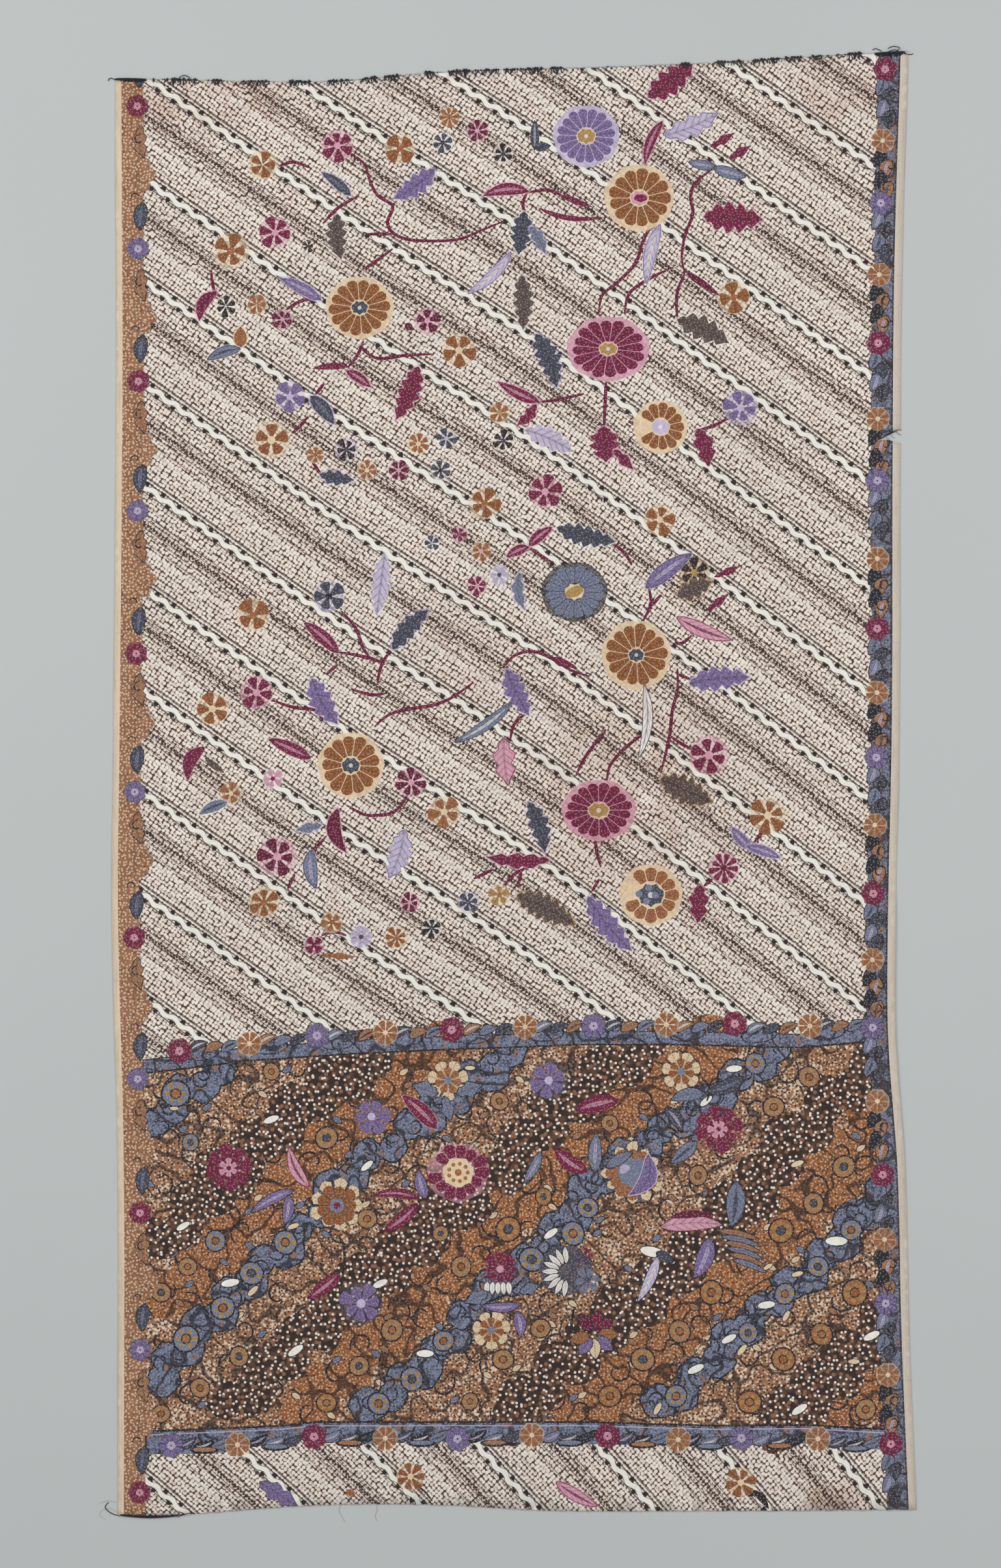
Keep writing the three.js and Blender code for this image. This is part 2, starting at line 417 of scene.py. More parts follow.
class Drawing:
    """Shapes drawn on the cloth one over another."""

    def __init__(self, dyes, seed):
        self.dyes = dyes
        self.shapes = []
        self.chance = random.Random(seed)

    def colour(self, name):
        """A dye's colour by its name."""
        return tuple(getattr(self.dyes, name))

    def ground(self, points, ground):
        """Changes what fills the cloth inside an outline."""
        self.shapes.append((points, ground, None, 0.0, None))

    def fill(self, points, dye_name, cover=1.0, axis=None):
        """Lays a dye inside an outline. An axis, base, tip and half width, lets veins follow it."""
        self.shapes.append((points, None, self.colour(dye_name), cover, axis))

    def disc(self, x, y, radius, dye_name, cover=1.0, squash=1.0, turn=0.0, wobble=0.0, sides=18):
        """A round of dye, squashed and lobed by shares."""
        self.fill(oval(x, y, radius, radius * squash, sides, turn, wobble), dye_name, cover)

    def stem(self, points, width=4.8, dye_name="wine"):
        """A stem that narrows towards both ends."""
        self.fill(strip(smooth_line(points, 4), width, 0.45), dye_name)

    def leaf(
        self, x0, y0, x1, y1, width, dye_name, lobes=0, bend=0.0, rim=None, halo=None, heart=None
    ):
        """A leaf from base to tip. Lobes notch its sides, and bend bows it to the left of its run."""
        run = math.hypot(x1 - x0, y1 - y0)
        ux, uy = (x1 - x0) / run, (y1 - y0) / run

        def outline(grow):
            count = 3 * lobes if lobes else 6 if run < 30 else 8
            sides = ([], [])
            for n in range(count + 1):
                u = n / count
                half = (width / 2) * math.sin(math.pi * u**0.85) ** 0.75
                if lobes:
                    half *= (1.16, 0.95, 0.6)[n % 3]
                half += grow
                along = -grow + u * (run + 2 * grow)
                across = bend * 4 * u * (1 - u)
                for side, sign in zip(sides, (1, -1)):
                    off = across + sign * half
                    side.append((x0 + ux * along - uy * off, y0 + uy * along + ux * off))
            return sides[0] + sides[1][::-1]

        if halo and width > 12:
            self.fill(outline(2.2), halo, 0.5)
        if rim:
            self.fill(outline(1.3), rim)
        axis = ((x0, y0), (x1, y1), width / 2, bend)
        self.fill(outline(0.25), dye_name, 1.0, axis)
        if heart and not lobes:
            line = []
            for n in range(5):
                u = 0.12 + 0.76 * n / 4
                off = bend * 4 * u * (1 - u)
                line.append((x0 + ux * run * u - uy * off, y0 + uy * run * u + ux * off))
            self.fill(strip(line, width * 0.26, 0.3), heart, 0.8)

    def petals(
        self, x, y, reach, count, dye_name, inner=0.3, squash=1.0, turn=0.0, gap=0.84, missing=(),
        tip=0.6, rough=0.04,
    ):
        """A ring of petals from an inner share of their reach."""
        for n in range(count):
            if n in missing:
                continue
            middle = math.radians(turn) + TAU * n / count
            half = math.pi / count * gap
            outline = [(inner, 0.9), (0.65, 1), (0.88, 1), (0.97, tip), (1.0, 0)]
            side = [(r, a * half) for r, a in outline]
            rim = side + [(r, -a) for r, a in side[-2::-1]]
            grow = 1 + rough * self.chance.uniform(-1, 1)
            points = []
            for r, a in rim:
                px = r * reach * grow * math.cos(middle + a)
                points.append((x + px, y + r * reach * grow * squash * math.sin(middle + a)))
            end = (x + reach * math.cos(middle), y + reach * squash * math.sin(middle))
            self.fill(points, dye_name, 1.0, ((x, y), end, reach * half * 0.8, 0.0))

    def rosette(
        self, x, y, radius, count, dye_name, halo, heart, squash=0.9, turn=0.0, missing=(), heart_size=0.3
    ):
        """A large many-petalled flower, with a pale rim and a ringed heart."""
        self.disc(x, y, radius * 1.13, halo, 0.85, squash, 0, 0.02, 24)
        self.disc(x, y, radius * 0.9, halo, 1.0, squash, 0, 0, 16)
        self.petals(x, y, radius, count, dye_name, heart_size * 1.1, squash, turn, 0.93, missing)
        self.disc(x, y, radius * heart_size * 1.12, "halo", 0.8, squash * 0.9, 0, 0.12, 16)
        self.disc(x, y, radius * heart_size, heart, 1.0, squash * 0.85, 0, 0.14, 16)
        self.disc(x, y, radius * heart_size * 0.25, "cream", 0.7, 1, 0, 0, 8)

    def blossom(
        self, x, y, radius, count, dye_name, halo="halo", heart=None, turn=0.0, missing=(), gap=0.7
    ):
        """A small flower with a few broad petals."""
        if halo:
            self.disc(x, y, radius * 1.1, halo, 0.45, 1, 0, 0.1, 14)
        self.petals(x, y, radius, count, dye_name, 0.1, 1, turn, gap, missing, 0.75, 0.17)
        if heart:
            self.disc(x, y, radius * 0.24, heart, 1.0, 1, 0, 0, 8)

    def star(self, x, y, radius, count, dye_name, centre, turn=0.0, rim="ink"):
        """A border flower: petals with a dark rim round a pale middle."""
        self.disc(x, y, radius * 1.06, rim, 0.85, 1, turn, 0.1, 20)
        self.petals(x, y, radius, count, dye_name, 0.2, 1, turn, 0.78, (), 0.8)
        self.disc(x, y, radius * 0.36, centre, 0.9, 1, 0, 0.12, 12)
        self.disc(x, y, radius * 0.1, rim, 1.0, 1, 0, 0, 6)

    def ringlet(self, x, y, radius, petal, heart, turn=0.0):
        """A ring rosette of the head panel: dark outline, petal ring, dark inner ring and a heart."""
        self.disc(x, y, radius, "ink", 1, 0.93, turn, 0.06, 14)
        self.disc(x, y, radius * 0.86, petal, 1, 0.93, turn, 0.06, 14)
        self.petals(x, y, radius * 0.74, 6, "straw", 0.3, 0.95, turn, 0.5, (), 0.5, 0.14)
        self.disc(x, y, radius * 0.4, "ink", 0.9, 0.9, turn)
        self.disc(x, y, radius * 0.27, heart, 1, 1)

    def curl(self, x, y, radius, angle, hand=1, width=2.3, dye_name="ink"):
        """A scroll that runs out of a spiral."""
        points = []
        for n in range(7):
            t = n / 6
            turn = math.radians(angle) + hand * t * 1.35 * math.pi
            reach = radius * (1 - 0.62 * t)
            points.append((x + reach * math.cos(turn), y + reach * math.sin(turn)))
        self.fill(strip(smooth_line(points, 2), width, 0.5), dye_name)


# ---- The field: ribbons and rows -----------------------------------------------------------------

# A ribbon's height at places across the field, the drop from it to the next, and how steeply they fall.
RIBBON_POINTS = [(-560, 1002), (-487, 951), (-239, 778), (27, 604), (257, 436), (443, 297), (560, 210)]
RIBBON = smooth_line(RIBBON_POINTS, 6)
RIBBON_DROP = [
    (-560, 139.0), (-487, 139.2), (-239, 139.7), (27, 140.2), (257, 141.7), (443, 143.9),
    (560, 145.5),
]
RIBBON_RUN = math.radians(35.3)

# The foot strip: its top, where its ribbons cross that and how steeply each falls, and the number of the
# ribbon that the first counts down from.
FOOT_TOP = -900
FOOT_RIBBONS = [
    (-720, 0.8), (-553, 0.83), (-376, 0.86), (-204, 0.95), (-48, 1.08), (114, 1.09), (275, 1.15),
    (430, 1.23), (585, 1.26),
]
FOOT_COUNT = 20


def field_rows(x, y):
    """Distance along the ribbons in millimetres, and ribbons passed going down, at points of the field."""
    run = math.cos(RIBBON_RUN) * x - math.sin(RIBBON_RUN) * y
    return run, (read_off(RIBBON, x) - y) / read_off(RIBBON_DROP, x)


def foot_rows(x, y):
    """The same for the foot strip, whose ribbons fall more steeply."""
    places = [p[0] for p in FOOT_RIBBONS]
    start = x + (y - FOOT_TOP) / read_off(FOOT_RIBBONS, x)
    return (x - y) * 0.707, FOOT_COUNT - np.interp(start, places, range(len(places)))


# ---- The parts of the pattern --------------------------------------------------------------------


def draw_field_flowers(art):
    """Flowering branches over the field: large rosettes, then stems, leaves and small flowers."""
    stems = [
        [(-230, 862), (-205, 845), (-196, 820), (-185, 800), (-165, 786), (-172, 765), (-165, 750),
         (-140, 740), (-80, 740), (-40, 755), (-15, 765)],
        [(-200, 748), (-165, 748)],
        [(-320, 840), (-300, 846), (-278, 838)],
        [(-260, 762), (-240, 783), (-212, 800)],
        [(-165, 728), (-192, 708), (-205, 700)],
        [(18, 805), (12, 790), (15, 772)],
        [(18, 804), (45, 808), (65, 800)],
        [(275, 840), (258, 828), (243, 812), (240, 795), (243, 775), (232, 745), (228, 715), (232, 695)],
        [(200, 757), (185, 755), (174, 735), (165, 708), (140, 682), (120, 665), (115, 640)],
        [(232, 695), (221, 665), (222, 632)],
        [(150, 640), (157, 668), (185, 688), (210, 700)],
        [(-412, 700), (-408, 672), (-395, 660)],
        [(-310, 645), (-290, 657), (-262, 662)],
        [(-225, 568), (-212, 585), (-205, 603)],
        [(-208, 592), (-185, 579), (-150, 583), (-112, 585)],
        [(-270, 530), (-258, 545)],
        [(-280, 500), (-290, 488), (-302, 477)],
        [(-275, 440), (-262, 420)],
        [(125, 548), (124, 525), (122, 480)],
        [(35, 520), (60, 523), (95, 531)],
        [(245, 480), (270, 487), (295, 500)],
        [(155, 493), (178, 487)],
        [(-235, 236), (-215, 212), (-205, 185), (-190, 165)],
        [(-240, 180), (-215, 176), (-190, 170), (-176, 163)],
        [(-168, 182), (-180, 163), (-186, 138)],
        [(-222, 130), (-195, 122), (-175, 124)],
        [(-330, 115), (-300, 105), (-270, 101), (-262, 88)],
        [(-255, 150), (-240, 163)],
        [(-190, 78), (-170, 95), (-140, 103), (-110, 108), (-85, 118), (-55, 139)],
        [(-15, 158), (0, 175), (25, 181), (50, 172), (78, 155), (103, 147)],
        [(15, 96), (0, 82), (-5, 62)],
        [(20, 323), (35, 312), (50, 303)],
        [(130, 330), (150, 315), (160, 298)],
        [(183, 268), (186, 245), (176, 224)],
        [(200, 258), (186, 242)],
        [(218, 193), (228, 192), (242, 203)],
        [(222, 158), (222, 130), (215, 100), (212, 70), (206, 42), (200, 18)],
        [(222, 150), (240, 143)],
        [(212, 66), (228, 55), (245, 46)],
        [(-228, -28), (-205, -40), (-190, -42), (-165, -38), (-148, -20), (-143, -5)],
        [(-235, -32), (-245, -45)],
        [(-257, -72), (-266, -82), (-276, -92)],
        [(-298, -122), (-308, -142)],
        [(84, 12), (95, 35), (112, 58), (125, 75)],
        [(126, 4), (130, 25), (146, 45), (166, 62), (178, 70)],
        [(110, -68), (112, -90), (118, -112)],
        [(116, -128), (106, -145)],
        [(20, -112), (0, -122), (-15, -140)],
        [(10, -115), (5, -140)],
        [(-28, -115), (-55, -128)],
        [(342, -56), (335, -68), (325, -80)],
        [(270, -128), (258, -138)],
        [(-262, -205), (-245, -200), (-228, -205)],
    ]
    for points in stems:
        art.stem(points)
    # Large rosettes.
    art.rosette(98, 881, 40, 16, "purple", "lavender", "straw", 0.94, 8, (), 0.3)
    art.rosette(170, 797, 42, 13, "brown", "halo", "pink", 0.96, 0, (), 0.28)
    art.disc(172, 797, 9, "crimson", 1, 0.6, 0, 0.1, 12)
    art.rosette(-210, 648, 41, 14, "brown", "halo", "slate", 0.92, 4, (), 0.27)
    art.rosette(128, 592, 50, 16, "crimson", "pink", "straw", 0.78, 4, (), 0.24)
    art.rosette(199, 486, 33, 13, "brown", "halo", "lavender", 0.98, 0, (6, 7), 0.36)
    art.rosette(82, 262, 40, 16, "blue", "night", "halo", 0.9, 10, (), 0.3)
    art.disc(82, 262, 13, "straw", 1, 0.55, 22, 0.04, 12)
    art.rosette(166, 176, 42, 14, "brown", "halo", "slate", 1.0, 4, (), 0.24)
    art.rosette(-222, 26, 40, 13, "brown", "halo", "slate", 1.0, 12, (), 0.3)
    art.rosette(115, -35, 45, 16, "crimson", "pink", "straw", 0.82, 12, (), 0.3)
    art.rosette(186, -150, 38, 12, "rust", "halo", "slate", 0.98, 0, (5, 6), 0.46)
    for x, y in ((183, -140), (192, -150), (180, -158), (170, -148)):
        art.disc(x, y, 5, "blue", 1, 1, 0, 0.1, 8)
    # Small flowers of the field: place, size, petals, dye, rim and heart.
    blossoms = [
        (-342, 842, 19, 5, "brown", "halo"), (-240, 868, 20, 6, "crimson", "pink", "pink"),
        (-385, 725, 23, 5, "brown", "halo", "rust"), (-325, 750, 20, 6, "crimson", "pink", "pink"),
        (-280, 732, 8, 5, "earth", None), (-88, 907, 13, 8, "rust", "halo", "brown"),
        (-155, 864, 19, 4, "brown", "halo", "rust"), (-97, 872, 13, 6, "slate", "cream", "ink"),
        (-50, 888, 14, 7, "wine", "pink", "pink"), (-15, 857, 13, 6, "earth", "cream", "slate"),
        (298, 662, 21, 4, "brown", "halo", "rust"),
        (308, 512, 22, 6, "purple", "lavender", "lavender"), (-392, 650, 14, 6, "earth", "cream"),
        (-350, 652, 13, 6, "rust", "halo"), (-315, 632, 13, 6, "wine", "pink", "pink"),
        (-305, 527, 19, 5, "purple", "lavender", "lavender"),
        (-330, 468, 24, 5, "brown", "halo", "halo"), (-270, 448, 11, 6, "rust", "halo", "brown"),
        (-228, 455, 15, 6, "earth", "lavender", "slate"),
        (-200, 427, 13, 7, "rust", "halo", "halo"), (-118, 630, 17, 5, "wine", "pink", "pink"),
        (-75, 590, 21, 5, "brown", "halo", "halo"), (-20, 505, 14, 6, "rust", "halo", "straw"),
        (-130, 463, 14, 7, "rust", "halo", "halo"), (-92, 470, 13, 6, "slate", "cream", "lavender"),
        (-15, 467, 14, 6, "earth", "cream", "slate"), (-157, 427, 13, 6, "wine", "pink", "pink"),
        (-100, 427, 13, 6, "slate", "cream", "ink"), (42, 398, 21, 6, "crimson", "pink", "pink"),
        (-40, 382, 20, 5, "brown", "halo", "rust"), (-112, 328, 10, 5, "slate", "cream"),
        (-75, 340, 10, 5, "crimson", "pink"), (-45, 317, 13, 6, "rust", "halo", "pink"),
        (-50, 270, 13, 6, "crimson", "pink", "pink"),
        (-20, 285, 13, 6, "lavender", "cream", "slate"),
        (-355, 230, 21, 4, "brown", "halo", "rust"),
        (-252, 256, 20, 5, "slate", "lavender", "night"),
        (-350, 125, 21, 6, "crimson", "pink", "pink"), (-410, 103, 21, 5, "brown", "halo", "halo"),
        (198, 360, 20, 5, "brown", "halo", "halo"), (-328, 8, 13, 5, "pink", "cream", "crimson"),
        (-385, -12, 14, 5, "rust", "halo", "halo"), (-322, -98, 25, 6, "wine", "pink", "pink"),
        (-340, -160, 20, 6, "brown", "halo", "rust"), (-248, -187, 14, 5, "rust", "halo", "brown"),
        (-272, -218, 13, 4, "crimson", "pink", "wine"),
        (-208, -207, 14, 7, "lavender", "lavender", "slate"),
        (-140, 3, 19, 7, "wine", "pink", "pink"), (-95, -37, 20, 5, "rust", "halo", "halo"),
        (-62, -160, 14, 6, "slate", "lavender", "slate"),
        (-142, -160, 13, 6, "wine", "pink", "pink"), (-112, -195, 13, 6, "earth", "cream", "slate"),
        (-160, -208, 15, 7, "brown", "halo", "rust"), (265, 40, 25, 6, "crimson", "pink", "pink"),
        (345, -42, 23, 6, "brown", "halo", "halo"), (285, -113, 20, 9, "crimson", "pink", "wine"),
        (245, 288, 20, 6, "earth", "straw", "straw"), (-20, -150, 14, 5, "straw", "halo", "rust"),
    ]
    for n, blossom in enumerate(blossoms):
        art.blossom(*blossom, turn=37 * n % 360)
    # Leaves of the field: base, tip, width, dye, lobes, bend, rim, halo and midrib.
    leaves = [
        (-222, 800, -262, 832, 13, "slate", 0, -2, None, "lavender", "blue"),
        (-108, 836, -163, 796, 27, "purple", 5, 3, None, "lavender"),
        (-240, 775, -235, 714, 26, "umber", 5, -4, None, "cream", "slate"),
        (20, 806, -42, 800, 16, "crimson", 0, -6, None, "pink", "pink"),
        (62, 801, 105, 785, 8, "crimson", 0, 0, None, "pink"),
        (32, 784, 122, 771, 7, "crimson", 0, -8, None, "pink"),
        (28, 862, 28, 903, 12, "slate", 0, 0, None, "lavender", "lavender"),
        (30, 862, 50, 868, 11, "slate", 0, 2, None, "lavender"),
        (14, 778, 6, 720, 28, "slate", 5, 0, None, "cream", "ink"),
        (22, 758, 42, 722, 16, "blue", 3, 2, None, "lavender", "slate"),
        (-5, 722, -62, 668, 13, "lavender", 0, 5, "purple", None, "white"),
        (10, 692, 12, 618, 26, "umber", 6, 2, None, "cream", "slate"),
        (30, 612, 58, 540, 30, "slate", 6, 4, None, "lavender", "ink"),
        (182, 934, 244, 982, 34, "crimson", 5, -2, None, "pink"),
        (202, 902, 178, 842, 13, "crimson", 0, -5, None, "pink", "pink"),
        (206, 882, 276, 912, 26, "lavender", 4, -3, "purple", "cream", "slate"),
        (268, 866, 300, 886, 11, "crimson", 2, 0, None, "pink"),
        (292, 850, 322, 868, 12, "crimson", 2, 0, None, "pink"),
        (272, 840, 238, 846, 12, "blue", 0, 1, "slate", None, "lavender"),
        (272, 838, 314, 826, 14, "blue", 0, -1, "slate", None, "lavender"),
        (258, 772, 338, 768, 38, "crimson", 5, 0, None, "pink"),
        (198, 760, 180, 682, 15, "lavender", 0, -4, "purple", "cream", "white"),
        (232, 698, 280, 664, 9, "wine", 0, 0, None, "pink"),
        (222, 632, 292, 600, 32, "umber", 5, 3, None, "cream", "slate"),
        (-404, 670, -428, 630, 16, "crimson", 0, -8, None, "pink", "wine"),
        (-262, 658, -318, 688, 15, "purple", 0, -2, None, "lavender", "lavender"),
        (-372, 594, -372, 622, 17, "rust", 0, 0, None, "halo"),
        (-373, 592, -416, 578, 13, "blue", 0, -3, "slate", "cream", "slate"),
        (-224, 568, -274, 565, 9, "crimson", 0, -2, None, "pink"),
        (-228, 562, -195, 540, 13, "crimson", 0, 2, None, "pink", "pink"),
        (-277, 528, -245, 490, 19, "slate", 0, 2, None, "lavender", "blue"),
        (-264, 421, -218, 414, 19, "slate", 4, -1, None, "lavender", "lavender"),
        (-130, 568, -160, 496, 28, "crimson", 6, 2, None, "pink", "pink"),
        (35, 519, -22, 547, 15, "crimson", 0, 2, None, "pink", "pink"),
        (30, 517, 4, 488, 15, "crimson", 3, 3, None, "pink", "pink"),
        (15, 482, 80, 452, 27, "lavender", 5, 3, None, "cream", "purple"),
        (-148, 626, -138, 618, 10, "wine", 0, 0, None, "pink"),
        (122, 486, 125, 438, 38, "crimson", 4, 0, None, "pink", "pink"),
        (136, 455, 162, 428, 14, "crimson", 2, 0, None, "pink"),
        (250, 482, 264, 434, 23, "crimson", 3, 3, "wine", "pink"),
        (-240, 180, -284, 219, 15, "crimson", 0, -2, "wine", "pink", "pink"),
        (-275, 144, -240, 82, 30, "purple", 5, -4, None, "lavender"),
        (-176, 312, -187, 230, 24, "lavender", 6, 0, None, "cream", "purple"),
        (-165, 184, -116, 238, 25, "slate", 5, 4, None, "lavender", "lavender"),
        (20, 324, 52, 350, 14, "crimson", 0, 2, None, "pink", "pink"),
        (20, 323, -10, 309, 13, "crimson", 0, -2, None, "pink", "pink"),
        (58, 349, 138, 330, 27, "slate", 6, -2, None, "cream", "lavender"),
        (8, 288, 14, 238, 15, "blue", 3, -6, None, "lavender", "lavender"),
        (-10, 156, 20, 94, 28, "purple", 5, -2, None, "lavender"),
        (-4, 111, -80, 58, 13, "blue", 0, 5, "slate", None, "white"),
        (52, 173, 86, 158, 8, "crimson", 0, 0, None, "pink"),
        (180, 268, 240, 313, 20, "purple", 0, 2, "slate", "lavender", "lavender"),
        (222, 256, 268, 276, 26, "umber", 4, 0, None, "straw", "straw"),
        (272, 282, 308, 297, 9, "crimson", 2, 0, None, "pink"),
        (262, 236, 292, 259, 10, "crimson", 2, 0, None, "pink"),
        (222, 227, 294, 197, 17, "pink", 0, -3, "crimson", "pink", "crimson"),
        (238, 137, 320, 146, 30, "purple", 5, 3, None, "lavender"),
        (177, 134, 170, 38, 12, "white", 0, 8, "slate", None, "lavender"),
        (200, 8, 268, -24, 36, "umber", 6, 0, None, "straw", "brown"),
        (-422, 50, -443, 8, 16, "crimson", 0, -9, "wine", "pink"),
        (-420, 36, -394, 16, 8, "umber", 0, 0),
        (-278, 36, -332, 61, 15, "crimson", 0, -1, "wine", "pink", "pink"),
        (-390, -24, -428, -40, 14, "blue", 0, -2, None, "cream", "slate"),
        (-240, -32, -228, -92, 19, "wine", 0, -11, None, "pink", "crimson"),
        (-262, -55, -296, -62, 13, "blue", 2, 0, None, "lavender", "lavender"),
        (-276, -90, -270, -140, 17, "blue", 0, -4, "slate", "lavender", "lavender"),
        (-150, -63, -170, -126, 28, "lavender", 5, 4, "purple", "cream", "purple"),
        (-14, 62, -8, 0, 26, "pink", 3, -2, "wine", "pink", "crimson"),
        (20, -24, 42, -92, 26, "slate", 5, 4, None, "lavender", "lavender"),
        (48, -102, -38, -98, 19, "crimson", 4, 4, None, "pink", "pink"),
        (100, -152, 160, -226, 30, "purple", 6, -4, None, "lavender"),
        (4, -150, 82, -190, 34, "umber", 7, 2, None, "straw", "brown"),
        (322, -86, 296, -58, 14, "purple", 0, 2, None, "lavender", "lavender"),
        (316, -84, 362, -100, 13, "purple", 0, 2, None, "lavender", "lavender"),
        (252, -138, 250, -186, 23, "crimson", 3, 0, "wine", "pink", "pink"),
        (-262, -232, -214, -234, 8, "rust", 2, 0, None, "halo"),
        (-345, -948, -295, -980, 22, "purple", 3, 0, "slate"),
        (58, -948, 112, -980, 15, "pink", 0, -2, "crimson", "pink", "crimson"),
        (324, -958, 346, -984, 9, "ink", 0, 2, None, "cream"),
        (-228, -958, -216, -968, 8, "rust", 0, 0, None, "halo"),
    ]
    for leaf in leaves:
        art.leaf(*leaf)
    art.stem([(-135, -952), (-122, -960), (-111, -974)], 3, "ink")
    art.blossom(-141, -940, 18, 7, "brown", "halo", "halo")
    art.blossom(308, -948, 19, 6, "brown", "halo", "halo", 12)


def follow(centre, width, step, art, dark, light, rim=2.2):
    """A lobed band along a centre line: rounds that overlap, in the outline dye and then the filling."""
    line = smooth_line(centre, 8)
    rounds, since = [], step
    for n in range(1, len(line)):
        (ax, ay), (bx, by) = line[n - 1], line[n]
        since += math.hypot(bx - ax, by - ay)
        if since < step:
            continue
        since = 0
        side = 1 if len(rounds) % 2 else -1
        off = side * width * 0.13
        run = math.hypot(bx - ax, by - ay)
        radius = width / 2 * art.chance.uniform(0.78, 1.06)
        x, y = bx - (by - ay) / run * off, by + (bx - ax) / run * off
        rounds.append((x, y, radius, art.chance.uniform(0, 90)))
    if dark:
        for x, y, radius, turn in rounds:
            art.fill(oval(x, y, radius + rim, (radius + rim) * 0.9, 15, turn, 0.06, 5), dark)
    for x, y, radius, turn in rounds:
        art.ground(oval(x, y, radius, radius * 0.9, 15, turn, 0.06, 5), light)


def between(first, second):
    """The line halfway between two lines."""
    lines = [smooth_line(line, 12) for line in (first, second)]
    middle = []
    for n in range(13):
        (ax, ay), (bx, by) = [line[round(n / 12 * (len(line) - 1))] for line in lines]
        middle.append(((ax + bx) / 2, (ay + by) / 2))
    return middle


HEAD_TOP = [
    (-505, -392), (-467, -388), (-363, -375), (-212, -365), (-98, -360), (97, -353), (212, -353),
    (388, -357), (433, -353), (512, -347),
]
HEAD_FOOT = [
    (-505, -879), (-317, -871), (-272, -866), (-53, -866), (97, -866), (274, -871), (394, -870),
    (525, -877),
]
STRIP_FOOT = [
    (-505, -910), (-407, -909), (-356, -898), (-295, -890), (-211, -897), (-132, -891), (38, -895),
    (144, -897), (268, -899), (388, -895), (525, -906),
]
NIGHT_BANDS = [
    [(-190, -372), (-203, -385), (-274, -420), (-345, -482), (-416, -553), (-492, -640)],
    [(190, -352), (75, -429), (-26, -527), (-141, -628), (-221, -695), (-310, -774), (-400, -858)],
    [(500, -372), (385, -478), (319, -558), (221, -659), (124, -739), (44, -810), (-12, -862)],
    [(505, -725), (451, -788), (398, -832), (350, -870)],
]
BLUE_BANDS = [
    [(-392, -390), (-460, -426), (-490, -478)],
    [(5, -360), (-80, -420), (-159, -482), (-230, -535), (-288, -606), (-354, -664), (-398, -712),
     (-442, -755), (-485, -810)],
    [(366, -358), (266, -429), (195, -478), (124, -527), (66, -597), (9, -655), (-49, -704),
     (-88, -757), (-133, -797), (-200, -852)],
    [(505, -552), (460, -597), (407, -659), (350, -704), (301, -748), (243, -810), (183, -856)],
]


